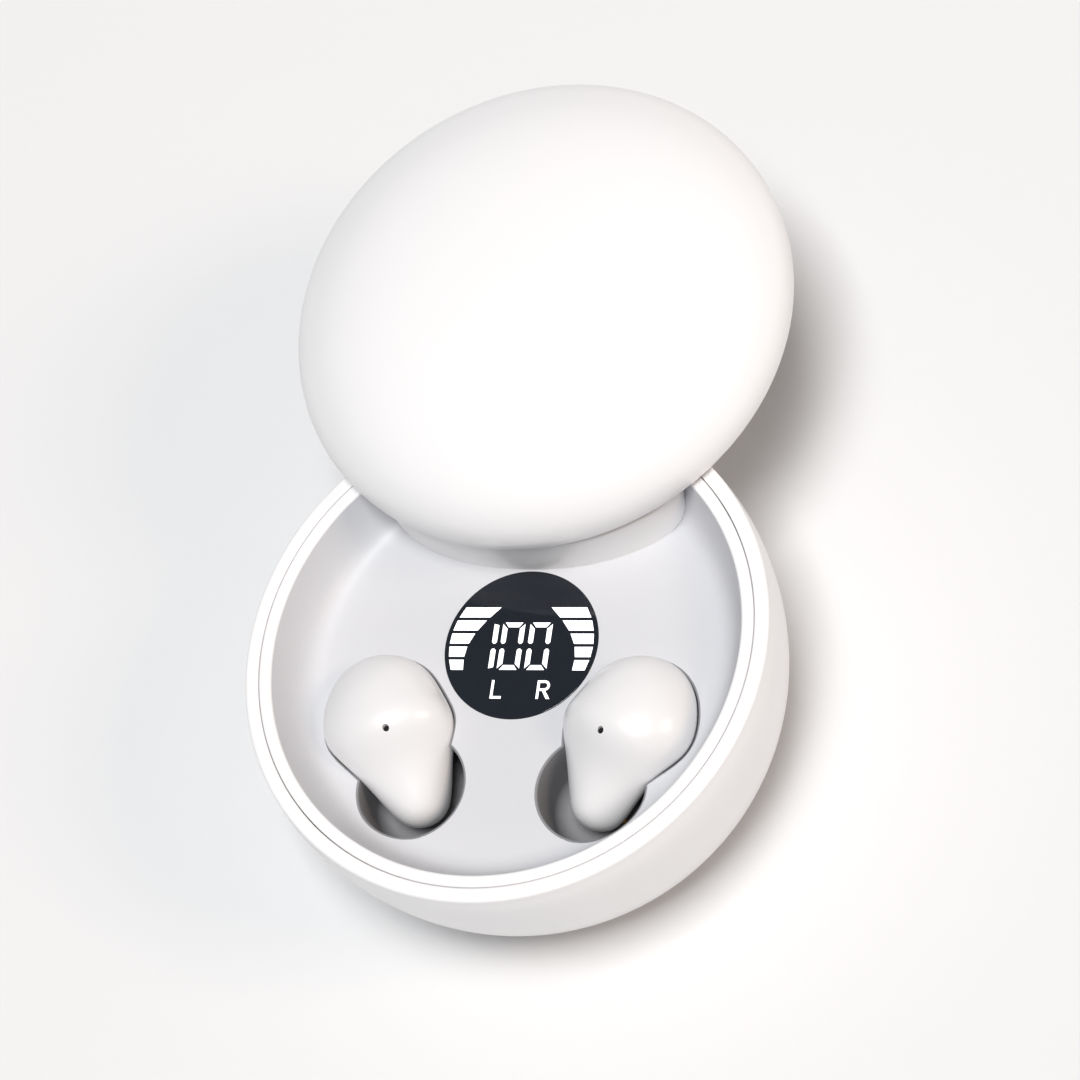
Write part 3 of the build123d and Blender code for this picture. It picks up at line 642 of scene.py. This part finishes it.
# ---- The base: bowl, tray and pedestal ----
@dataclass
class Bowl:
    """The outer shell: a bowl with a flat foot, a thin flat rim and a slot for the socket."""

    belly_r: float = high("outer_shell").x
    rim_r: float = 30.0 * MM
    belly_drop: float = 3.0 * MM
    shoulder_rise: float = 1.0 * MM
    seam_r: float = 28.40 * MM
    seam_edge: float = 0.12 * MM
    wall: float = 1.6 * MM
    side_drop: float = 10.5 * MM
    side_r: float = 26.0 * MM
    foot_z: float = 0.4 * MM
    foot_r: float = 15.6 * MM
    pad_r: float = 14.6 * MM
    pad_depth: float = 0.8 * MM
    pad_edge: float = 0.15 * MM
    lip: float = 0.35 * MM
    socket_gap: float = 0.06 * MM
    cutter_spare: float = 2 * MM

    def side(self, inset: float, steps: int) -> Profile:
        """The bowl's side from belly to foot, the given distance inside its outer face."""
        belly_z = RIM_Z - self.belly_drop
        return bezier(
            (self.belly_r - inset, belly_z),
            (self.belly_r - inset, belly_z - self.side_drop + 0.3 * inset),
            (self.side_r - 0.75 * inset, self.foot_z + inset),
            (self.foot_r - 0.2 * inset, self.foot_z + inset),
            steps,
        )

    def build(self) -> Piece:
        """The shell's mesh, with its socket slot cut out."""
        belly_z = RIM_Z - self.belly_drop
        pad_top = self.foot_z + self.pad_depth
        shoulder = bezier(
            (self.belly_r, belly_z),
            (self.belly_r, belly_z + self.shoulder_rise),
            (self.rim_r + 0.02 * MM, RIM_Z - self.lip - 0.8 * MM),
            (self.rim_r, RIM_Z - self.lip),
            8,
        )
        pad, seam = self.pad_edge, self.seam_edge
        profile = joined(
            [(0.0, pad_top), (self.pad_r, pad_top)],
            line((self.pad_r, pad_top), (self.pad_r, self.foot_z + pad), 2),
            arc((self.pad_r + pad, self.foot_z + pad), pad, 180, 270, 4),
            self.side(0.0, 64)[::-1],
            shoulder,
            arc((self.rim_r - self.lip, RIM_Z - self.lip), self.lip, 0, 90, 8),
            line((self.rim_r - self.lip, RIM_Z), (self.seam_r + seam, RIM_Z), 4),
            arc((self.seam_r + seam, RIM_Z - seam), seam, 90, 180, 4),
            line((self.seam_r, RIM_Z - seam), (self.seam_r, belly_z + self.shoulder_rise), 3),
            self.side(self.wall, 32),
            [(0.0, self.foot_z + self.wall)],
        )
        bowl = revolve("bowl_shell", profile, segments=320)
        cut(bowl, self.socket_cutter())
        return bowl

    def socket_cutter(self) -> Piece:
        """A rounded bar through the back wall, a little larger than the socket."""
        lowest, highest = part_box("usb_c_port")
        middle_z = (lowest.z + highest.z) / 2
        half_w = highest.x + self.socket_gap
        half_h = (highest.z - lowest.z) / 2 + self.socket_gap
        ring = arc((half_w - half_h, middle_z), half_h, -90, 90, 16)
        ring += arc((half_h - half_w, middle_z), half_h, 90, 270, 16)
        ends = (lowest.y, self.belly_r + self.cutter_spare)
        draft = MeshDraft()
        draft.stack([np.array([(x, y, z) for x, z in ring]) for y in ends])
        return draft.build("socket_cutter")

    def place(self) -> None:
        """Builds and finishes the shell."""
        place(self.build(), "base", Slot.shell_white, ["outer_shell"])


@dataclass
class Pocket:
    """One bud's pocket: its outline joined with a circle round the tail, and a well for the tip."""

    side: Side
    room: float = 0.22 * MM
    head_to_middle: float = 4.6 * MM
    tail_centre: Point2 = (10.4 * MM, -14.5 * MM)
    tail_r: float = 6.3 * MM
    tip_r: float = 5.6 * MM
    tip_edge: float = 0.4 * MM
    bottom_z: float = RIM_Z - 13.6 * MM
    tip_bottom_z: float = RIM_Z - 15.4 * MM
    lip: float = 0.22 * MM
    flange: float = 0.07 * MM
    flange_sunk: float = 0.03 * MM
    display_gap: float = 0.03 * MM
    proud: float = 0.012 * MM
    draft: float = 0.12 * MM
    root: float = 1.8 * MM
    lining: float = 0.05 * MM
    segments: int = 480

    @property
    def middle(self) -> Vector:
        """A point well inside the pocket, from which all of its edge can be seen."""
        point = BUD.head + Vector((BUD.lean.x, BUD.lean.y, 0.0)) * self.head_to_middle
        return Vector((self.side.value * point.x, point.y))

    def edge(self) -> Pair:
        """Angles about the middle and the distance out to the pocket's edge at each."""
        middle = np.array(self.middle)
        turn = np.arange(self.segments) * TURN / self.segments
        outline = BUD.outline(self.side, self.room) - middle
        bearing = np.arctan2(outline[:, 1], outline[:, 0])
        order = np.argsort(bearing)
        bearing, reach = bearing[order], np.hypot(outline[:, 0], outline[:, 1])[order]
        around = np.r_[bearing - TURN, bearing, bearing + TURN, bearing + 2 * TURN]
        reach = np.interp(turn, around, np.tile(reach, 4))
        gap = np.array((self.side.value * self.tail_centre[0], self.tail_centre[1])) - middle
        along = gap[0] * np.cos(turn) + gap[1] * np.sin(turn)
        inside = self.tail_r**2 - (gap @ gap) + along**2
        circle = np.where(inside > 0, along + np.sqrt(np.maximum(inside, 0)), 0)
        reach = np.maximum(reach, circle)
        display = np.array((DISPLAY.x, DISPLAY.y)) - middle
        toward = display[0] * np.cos(turn) + display[1] * np.sin(turn)
        clear_r = DISPLAY_R + self.flange + self.display_gap
        limit = clear_r**2 - (display @ display) + toward**2
        shorter = toward - np.sqrt(np.maximum(limit, 0))
        return turn, np.minimum(reach, np.where((limit > 0) & (toward > 0), shorter, reach))

    def depth_inside(self, x: np.ndarray, y: np.ndarray) -> np.ndarray:
        """Distance in from the pocket's edge, along the line to its middle; negative outside."""
        turn, reach = self.edge()
        bearing = np.arctan2(y - self.middle.y, x - self.middle.x) % TURN
        limit = np.interp(bearing, np.r_[turn, TURN], np.r_[reach, reach[0]])
        return limit - np.hypot(x - self.middle.x, y - self.middle.y)

    def bottom(self, x: np.ndarray, y: np.ndarray) -> np.ndarray:
        """The pocket floor's height, deeper under the ear tip."""
        inside = self.tip_r - np.hypot(x - self.side.value * TIP_POCKET.x, y - TIP_POCKET.y)
        share = np.clip(inside / self.tip_edge, 0, 1)
        return self.bottom_z + (self.tip_bottom_z - self.bottom_z) * share

    def build(self, top: Callable[[np.ndarray], np.ndarray]) -> Piece:
        """The pocket's lining, a thin cup with a rounded lip lying on the tray's top."""
        turn, reach = self.edge()
        rings = []

        def level(distance: np.ndarray) -> Pair:
            """X and Y of a ring at some distances from the middle."""
            x = self.middle.x + distance * np.cos(turn)
            return x, self.middle.y + distance * np.sin(turn)

        steps = [(-self.flange, -self.flange_sunk), (-self.flange, self.proud)]
        for a in range(0, 91, 15):
            c, s = cos_sin(a)
            steps.append((self.lip * s, self.proud - self.lip * (1 - c)))
        for inward, rise in steps:
            x, y = level(reach - inward)
            rings.append(np.c_[x, y, top(np.hypot(x, y)) + rise])
        lip_z = rings[-1][:, 2]
        for share in (0.25, 0.5, 0.75, 1.0):
            x, y = level(reach - (self.lip + self.draft * share))
            rings.append(np.c_[x, y, lip_z + (self.bottom_z + self.root - lip_z) * share])
        for a in range(10, 91, 10):
            c, s = cos_sin(a)
            x, y = level(reach - (self.lip + self.draft + self.root * (1 - c)))
            rings.append(np.c_[x, y, self.bottom(x, y) + self.root * (1 - s)])
        for share in (0.92, 0.84, 0.76, 0.68, 0.6, 0.5, 0.4, 0.3, 0.2, 0.1):
            x, y = level((reach - self.lip - self.draft - self.root) * share)
            rings.append(np.c_[x, y, self.bottom(x, y)])
        draft = MeshDraft()
        firsts = draft.stack(rings, caps=False)
        draft.fan(firsts[-1], self.segments, rings[-1].mean(0))
        cup = draft.build(f"pocket_lining_{self.side.name}", 50.0)
        solid = cup.modifiers.new("wall", "SOLIDIFY")
        solid.thickness = self.lining
        solid.offset = -1.0
        return cup


@dataclass
class Tray:
    """The inner tray: rim ring, sloping well wall, flat floor and room for the bud pockets."""

    well_r: float = 26.9 * MM
    ring_r: float = 28.30 * MM
    floor_r: float = 22.2 * MM
    wall_bend: Point2 = (1.6 * MM, 1.2 * MM)
    wall_ease: float = 2.4 * MM
    edge: float = 0.3 * MM
    ring_edge: float = 0.12 * MM
    ring_depth: float = 2.6 * MM
    ring_overlap: float = 0.04 * MM
    thickness: float = 1.0 * MM
    under_mouth: float = 1.6 * MM
    under_lean: float = 0.6 * MM
    pocket_edge: float = 0.05 * MM
    below_pocket: float = 0.2 * MM
    segments: int = 900
    floor_step: float = 0.11 * MM
    under_step: float = 0.5 * MM
    wall_steps: int = 56

    def top(self, radius: np.ndarray) -> np.ndarray:
        """The height of the uncut tray at some distance from its middle."""
        rows = sorted(self.wall(self.wall_steps))
        return np.interp(radius, [r for r, _ in rows], [z for _, z in rows])

    def wall(self, steps: int) -> Profile:
        """The well's wall from its mouth down to the floor."""
        return bezier(
            (self.well_r, RIM_Z - self.edge),
            (self.well_r - self.wall_bend[0], FLOOR_Z + self.wall_bend[1]),
            (self.floor_r + self.wall_ease, FLOOR_Z),
            (self.floor_r, FLOOR_Z),
            steps,
        )

    def sheet(self, draft: MeshDraft, section: Profile, grow: float, drop: float) -> list[int]:
        """Adds one side of the tray as rings, sunk under the pockets, its middle closed."""
        points = np.concatenate(
            [circle_ring(r, z - drop, (0.0, 0.0), self.segments) for r, z in section]
        )
        for side in Side:
            pocket = Pocket(side)
            inside = pocket.depth_inside(points[:, 0], points[:, 1]) + grow
            floor = pocket.bottom(points[:, 0], points[:, 1]) - self.below_pocket - drop
            sunk = np.minimum(points[:, 2], floor)
            points[:, 2] = np.where(inside > self.pocket_edge, sunk, points[:, 2])
        first = draft.add_points(points)
        firsts = [first + k * self.segments for k in range(len(section))]
        for a, b in zip(firsts, firsts[1:]):
            draft.bridge(a, b, self.segments)
        draft.fan(firsts[0], self.segments, np.array((0.0, 0.0, section[0][1] - drop)))
        return firsts

    def well(self) -> Piece:
        """The well's closed mesh, up to the underside of the rim ring."""
        draft = MeshDraft()
        floor_end = (self.floor_r, FLOOR_Z)
        wall = self.wall(self.wall_steps)[::-1]
        count = int(self.floor_r / self.floor_step)
        upper = joined(line((self.floor_step, FLOOR_Z), floor_end, count), wall)
        top = self.sheet(draft, upper, 0.0, 0.0)
        under = []
        for r, z in joined(line((self.under_step, FLOOR_Z), floor_end, 60), wall[::3]):
            out = self.under_lean * max(0.0, (z - FLOOR_Z) / (RIM_Z - FLOOR_Z))
            under.append((r + out, min(z, RIM_Z - self.under_mouth)))
        below = self.sheet(draft, under, self.thickness, self.thickness)
        draft.bridge(top[-1], below[-1], self.segments)
        return draft.build("well_tray", 60.0)

    def ring(self) -> Piece:
        """The flat ring round the well's mouth."""
        edge, fine = self.edge, self.ring_edge
        start = [(self.well_r, RIM_Z - edge - self.ring_overlap)]
        foot_z = RIM_Z - self.ring_depth
        profile = joined(
            start,
            arc((self.well_r + edge, RIM_Z - edge), edge, 180, 90, 8),
            line((self.well_r + edge, RIM_Z), (self.ring_r - fine, RIM_Z), 5),
            arc((self.ring_r - fine, RIM_Z - fine), fine, 90, 0, 4),
            [(self.ring_r, foot_z), (self.well_r + 0.6 * MM, foot_z)],
            start,
        )
        return revolve("tray_ring", profile, segments=400)

    def place(self) -> None:
        """Builds and finishes the tray."""
        # The well takes the greyer white, partly painted shade of the well; its rim ring keeps the shell's white.
        place(self.well(), "base", Slot.tray_white, ["inner_tray"])
        for side in Side:
            # The pocket linings carry a mid grey that is painted shade of the deep pockets.
            place(Pocket(side).build(self.top), "base", Slot.tray_white, finish=POCKET_PAINTED_SHADE)
        place(self.ring(), "base", Slot.tray_white, finish=GLOSS_ABS)


@dataclass
class Pedestal:
    """The fixed block at the back of the well that carries the lid's swivel."""

    middle_y: float = 20.5 * MM
    half_x: float = 18.0 * MM
    half_y: float = 9.0 * MM
    edge: float = 0.3 * MM
    wall_gap: float = 0.02 * MM
    sunk: float = 0.05 * MM
    segments: int = 320

    def ring(self, inset: float, z: float) -> np.ndarray:
        """One level ring of the block, kept inside the well's wall."""
        a = np.arange(self.segments) * TURN / self.segments
        x = (self.half_x - inset) * np.cos(a)
        y = self.middle_y + (self.half_y - inset) * np.sin(a)
        wall = sorted((pz, pr) for pr, pz in Tray().wall(48))
        limit = np.interp(z, [w[0] for w in wall], [w[1] for w in wall]) - self.wall_gap
        scale = np.minimum(1, limit / np.hypot(x, y))
        return np.c_[x * scale, y * scale, np.full(self.segments, z)]

    def build(self) -> Piece:
        """The block's mesh, a little sunk into the floor it stands on."""
        top = high("hinge_pedestal").z
        levels = [(0.0, z) for z in np.linspace(FLOOR_Z - self.sunk, top - self.edge, 14)]
        for a in range(15, 91, 15):
            c, s = cos_sin(a)
            levels.append((self.edge * (1 - c), top - self.edge * (1 - s)))
        levels += [(inset, top) for inset in (2 * MM, 4 * MM, 6 * MM)]
        draft = MeshDraft()
        draft.stack([self.ring(inset, z) for inset, z in levels])
        return draft.build("pedestal_block")

    def place(self) -> None:
        """Builds and finishes the block."""
        place(self.build(), "base", Slot.tray_white, ["hinge_pedestal"], GLOSS_ABS)


# ---- The lid ----
@dataclass
class Lid:
    """The pebble lid: a domed shell over a hollow liner, both turning about the swivel pin."""

    radius: float = high("lid_shell").x
    base_z: float = low("lid_shell").z
    belly_rise: float = 2.6 * MM
    top_z: float = high("lid_shell").z
    steepness: float = 0.59
    fullness: float = 0.62
    foot_turn: float = 1.3 * MM
    foot_bend: Point2 = (0.5 * MM, 0.3 * MM)
    wall: float = 1.4 * MM
    gap: float = 0.1 * MM
    liner_wall: float = 1.0 * MM
    boss_margin: float = 0.2 * MM
    boss_edge: float = 0.3 * MM
    boss_h: float = 6.5 * MM

    def crown(self, inset: float, steps: int) -> Profile:
        """The dome from its belly up to the middle."""
        r, belly_z, top = self.radius - inset, self.base_z + self.belly_rise, self.top_z - inset
        steep = (r, belly_z + self.steepness * (top - belly_z))
        return bezier((r, belly_z), steep, (self.fullness * r, top), (0.0, top), steps)

    def foot(self, inset: float, base_z: float, steps: int) -> Profile:
        """The turned-in edge from the belly down."""
        r, belly_z = self.radius - inset, self.base_z + self.belly_rise
        start, end = (r, belly_z), (r - self.foot_turn, base_z)
        bend = (r - self.foot_bend[0], base_z + self.foot_bend[1])
        return bezier(start, (r, belly_z - self.foot_turn), bend, end, steps)

    def shell(self, name: str, inset: float, wall: float, base_z: float) -> Piece:
        """A closed dome wall of even thickness, some distance in from the lid's outer face."""
        outside = joined(self.foot(inset, base_z, 20)[::-1], self.crown(inset, 96))
        inner = inset + wall
        inside = joined(self.crown(inner, 64)[::-1], self.foot(inner, base_z, 12))
        profile = [(0.0, outside[-1][1])] + outside[:-1][::-1]
        profile += inside[::-1][:-1] + [(0.0, inside[0][1])]
        return revolve(name, profile, (0.0, LID_Y), 320)

    def boss(self) -> Piece:
        """The round boss that carries the swivel plate, up into the liner."""
        radius = high("swivel_plate").x + self.boss_margin
        start, edge = high("swivel_plate").z, self.boss_edge
        heights = line((radius, start + edge), (radius, start + self.boss_h), 6)
        corner = arc((radius - edge, start + edge), edge, -90, 0, 5)
        profile = joined([(0.0, start)], corner, heights) + [(0.0, start + self.boss_h)]
        return revolve("swivel_boss", profile, (0.0, PIVOT_Y), 128)

    def place(self) -> None:
        """Builds and finishes the lid's pieces."""
        dome = self.shell("lid_dome", 0.0, self.wall, self.base_z)
        place(dome, "lid", Slot.shell_white, ["lid_shell"])
        inset, base_z = self.wall + self.gap, self.base_z + self.gap
        liner = self.shell("lid_inner_dome", inset, self.liner_wall, base_z)
        place(liner, "lid", Slot.tray_white, ["lid_liner"])
        place(self.boss(), "lid", Slot.tray_white)


# ---- The buds ----
@dataclass
class Bud:
    """One earbud's shell, with a real hole for its microphone."""

    side: Side
    hole_r: float = 0.36 * MM
    hole_bottom: float = 2.2 * MM
    rings: int = 150
    segments: int = 200

    def build(self) -> Piece:
        """The bud's closed outer mesh."""
        where, rows = BUD.stations(self.rings)
        a = np.arange(self.segments) * TURN / self.segments
        rings = []
        for along, (half_w, half_h, dip, shift) in zip(where, rows):
            x, y = BUD.level(self.side, along, shift + half_w * np.cos(a))
            rings.append(np.c_[x, y, BUD.head.z - dip + half_h * np.sin(a)])
        draft = MeshDraft()
        draft.stack(rings)
        shell = draft.build(f"bud_shell_{self.side.name}", 80.0)
        bottom = RIM_Z - self.hole_bottom
        hole = [(0.0, bottom), (self.hole_r, bottom), (self.hole_r, RIM_Z), (0.0, RIM_Z)]
        cut(shell, revolve("hole", hole, (self.side.value * MIC.x, MIC.y), 48), 50.0)
        return shell

    def place(self) -> None:
        """Builds and finishes the bud's shell."""
        name = self.side.name
        nodes = [f"bud_face_{name}", f"bud_back_{name}"]
        place(self.build(), f"bud_{name}", Slot.bud_white, nodes)


# ---- The display ----
@dataclass
class Display:
    """The round window and what it shows: three figures, two charge scales, two side letters."""

    window_edge: float = 0.12 * MM
    middle: Point2 = (0.1 * MM, 2.2 * MM)
    figure_h: float = 5.7 * MM
    figure_w: float = 2.6 * MM
    figure_pitch: float = 3.2 * MM
    figures_start: float = 3.55 * MM
    figure_gap: float = 0.45 * MM
    stroke: float = 0.57 * MM
    mitre: float = 0.12 * MM
    mitre_gap: float = 0.05 * MM
    waist: float = 0.30 * MM
    bars_a_side: int = 5
    bar_h: float = 1.22 * MM
    bar_pitch: float = 1.59 * MM
    bar_top: float = 6.29 * MM
    bar_outer_r: float = 8.4 * MM
    letter_h: float = 2.2 * MM
    letter_stroke: float = 0.29 * MM
    letter_y: float = -4.1 * MM
    left_x: float = -2.75 * MM
    right_x: float = 2.6 * MM
    letter_foot: float = 1.3 * MM
    bowl_r: float = 0.62 * MM
    bowl_x: float = 0.85 * MM
    mark_sunk: float = 0.01 * MM
    mark_thickness: float = 0.02 * MM

    def window(self) -> Piece:
        """The window, with a fine rounded edge."""
        bottom, top, edge = low("display_window").z, high("display_window").z, self.window_edge
        profile = joined(
            [(0.0, bottom), (DISPLAY_R, bottom)],
            line((DISPLAY_R, bottom), (DISPLAY_R, top - edge), 4),
            arc((DISPLAY_R - edge, top - edge), edge, 0, 90, 6),
            [(0.6 * DISPLAY_R, top), (0.3 * DISPLAY_R, top), (0.0, top)],
        )
        return revolve("display_glass", profile, (DISPLAY.x, DISPLAY.y), 256)

    def upright(self, x: float, inner: int, upper: int) -> Profile:
        """One upright segment, mitred where it meets the cross segment on its inner side.

        Args:
            x: the segment's outer edge.
            inner: 1 when the figure's inside is towards +X, -1 the other way, 0 for no mitre.
            upper: 1 for an upper segment, -1 for a lower one.
        """
        t, half, tip = self.stroke, self.figure_h / 2, self.mitre + self.mitre_gap
        step = t if inner >= 0 else -t
        far = half - tip - (t if inner else 0.25 * t)
        rows = [(0.0, half - tip), (step, far), (step, 1.7 * self.waist), (0.7 * step, self.waist)]
        rows += [(0.3 * step, self.waist), (0.0, 1.7 * self.waist)]
        return [(x + dx, self.middle[1] + upper * dy) for dx, dy in rows]

    def crossbar(self, x0: float, x1: float, upper: int) -> Profile:
        """A top or bottom segment with mitred ends."""
        half, t, m = self.figure_h / 2, self.stroke, self.mitre
        rows = [(x0 + m + 0.25 * t, half), (x1 - m - 0.25 * t, half)]
        rows += [(x1 - t - m, half - t), (x0 + t + m, half - t)]
        return [(x, self.middle[1] + upper * dy) for x, dy in rows]

    def figures(self) -> list[Profile]:
        """A one and two noughts."""
        start = self.middle[0] - self.figures_start
        outlines = [self.upright(start, 0, upper) for upper in (1, -1)]
        for k in (0, 1):
            x0 = start + self.stroke + self.figure_gap + k * self.figure_pitch
            x1 = x0 + self.figure_w
            for upper in (1, -1):
                outlines += [self.upright(x0, 1, upper), self.upright(x1, -1, upper)]
                outlines.append(self.crossbar(x0, x1, upper))
        return outlines

    def bars(self) -> list[Profile]:
        """The bars on each side, between a curve inside them and the window's edge."""
        rise = [v * MM for v in (-3.2, -2.47, -0.85, 0.74, 2.3, 3.89, 4.6)]
        inner = [v * MM for v in (6.36, 6.48, 6.48, 5.95, 4.99, 3.56, 2.85)]
        outlines = []
        for k in range(self.bars_a_side):
            y = self.bar_top - k * self.bar_pitch
            heights = (y + self.bar_h / 2 - DISPLAY.y, y - self.bar_h / 2 - DISPLAY.y)
            near = [float(np.interp(h, rise, inner)) for h in heights]
            far = [math.sqrt(self.bar_outer_r**2 - h**2) for h in heights]
            corners = [(near[0], heights[0]), (far[0], heights[0])]
            corners += [(far[1], heights[1]), (near[1], heights[1])]
            for side in Side:
                outlines.append([(side.value * x, DISPLAY.y + h) for x, h in corners])
        return outlines

    def letters(self) -> list[Profile]:
        """The letters for left and right."""
        t, y, top = self.letter_stroke, self.letter_y, self.letter_y + self.letter_h
        x, end = self.left_x, self.left_x + self.letter_foot
        outlines = [[(x, y), (end, y), (end, y + t), (x + t, y + t), (x + t, top), (x, top)]]
        x = self.right_x
        outlines.append([(x, y), (x + t, y), (x + t, top), (x, top)])
        middle, foot = (x + self.bowl_x, top - self.bowl_r), top - 2 * self.bowl_r
        loop = [(x + t, top)] + arc(middle, self.bowl_r, 90, -90, 14) + [(x + t, foot)]
        loop.append((x + t, foot + t))
        loop += arc(middle, self.bowl_r - t, -90, 90, 14) + [(x + t, top - t)]
        outlines.append(loop)
        leg = [(0.62 * MM, foot), (1.0 * MM, foot), (1.62 * MM, y), (1.2 * MM, y)]
        outlines.append([(x + dx, leg_y) for dx, leg_y in leg])
        return outlines

    def place(self) -> None:
        """Builds and finishes the window and its lit marks."""
        place(self.window(), "base", Slot.display_black, ["display_window"])
        z = high("display_window").z - self.mark_sunk
        marks = {"figures": self.figures(), "charge_bars": self.bars(), "letters": self.letters()}
        for name, outlines in marks.items():
            lit = plates(f"lit_{name}", outlines, z, self.mark_thickness)
            place(lit, "base", Slot.light_guide, finish=LIT_SEGMENT)


# ---- Carried-over nodes, room, light and camera ----
def dress_frame_nodes() -> None:
    """Gives every frame node the finish of its slot."""
    slots = {entry["node"]: entry["material_slot"] for entry in frame["record"]["subparts"]}
    for name, node in frame["nodes"].items():
        dress(node, Slot[slots[name]].value)


@dataclass
class Studio:
    """A plain pale floor, soft light from large panels and an even sky."""

    floor_radii: tuple[float, ...] = (0.05, 0.2, 0.6, 1.2, 2.0)
    floor_segments: int = 96
    aim: Vector = Vector((0, 10 * MM, RIM_Z))
    sky_colour: str = "#EAF0FA"
    sky_strength: float = 0.18

    def floor(self) -> None:
        """The floor the case rests on, a flat round sheet."""
        count = self.floor_segments
        draft = MeshDraft()
        rings = [circle_ring(r, 0.0, (0.0, 0.0), count) for r in self.floor_radii]
        firsts = draft.stack(rings, caps=False)
        draft.fan(firsts[0], count, np.zeros(3))
        floor = draft.build("floor")
        dress(floor, PAPER)

    def panel(self, name: str, where: Vector, size: float, watts: float, colour: str) -> None:
        """One square light panel aimed at the case, its size in metres and colour in sRGB hex."""
        data = bpy.data.lights.new(name, "AREA")
        data.shape = "SQUARE"
        data.size = size
        data.energy = watts
        data.color = linear(colour)[:3]
        lamp = bpy.data.objects.new(name, data)
        bpy.context.scene.collection.objects.link(lamp)
        facing = (where - self.aim).to_track_quat("Z", "Y").to_matrix().to_4x4()
        lamp.matrix_world = Matrix.Translation(where) @ facing

    def sky(self) -> None:
        """An even pale surround."""
        world = bpy.data.worlds.new("surround")
        world.use_nodes = True
        inputs = world.node_tree.nodes["Background"].inputs
        inputs["Color"].default_value = linear(self.sky_colour)
        inputs["Strength"].default_value = self.sky_strength
        bpy.context.scene.world = world

    def build(self) -> None:
        """Everything around the case."""
        self.floor()
        self.sky()
        self.panel("key_panel", Vector((0.55, -0.85, 4.4)), 1.6, 194.0, "#FFFFFF")
        self.panel("warm_panel", Vector((3.3, -0.2, 2.5)), 1.2, 38.0, "#FFE4CC")
        bpy.context.scene.view_settings.view_transform = "Standard"


@dataclass
class Camera:
    """The view: where it looks, from which side, how high, how far and how much it leans."""

    target: Vector = Vector((2.62 * MM, 12.41 * MM, RIM_Z))
    azimuth: float = 39.07
    elevation: float = 58.52
    distance: float = 439.9 * MM
    roll: float = -35.08
    lens: float = 133.33
    sensor: float = 36.0
    near: float = 0.01

    def build(self) -> None:
        """Makes the camera and hands it to the scene."""
        az, el = math.radians(self.azimuth), math.radians(self.elevation)
        level = math.cos(el)
        back = Vector((math.sin(az) * level, -math.cos(az) * level, math.sin(el)))
        across = Vector((0, 0, 1)).cross(back).normalized()
        above = back.cross(across)
        turn = math.radians(self.roll)
        right = across * math.cos(turn) + above * math.sin(turn)
        up = above * math.cos(turn) - across * math.sin(turn)
        axes = Matrix((right, up, back)).transposed().to_4x4()
        data = bpy.data.cameras.new("view")
        data.lens = self.lens
        data.sensor_width = self.sensor
        data.clip_start = self.near
        camera = bpy.data.objects.new("view", data)
        camera.matrix_world = Matrix.Translation(self.target + back * self.distance) @ axes
        bpy.context.scene.collection.objects.link(camera)
        bpy.context.scene.camera = camera


def main() -> None:
    """Builds the case's looks in order."""
    logging.basicConfig(level=logging.INFO, format="%(name)s: %(message)s")
    Camera().build()
    Studio().build()
    dress_frame_nodes()
    for part in (Bowl(), Tray(), Pedestal(), Display(), Lid(), *map(Bud, Side)):
        part.place()


if __name__ == "__main__":
    main()
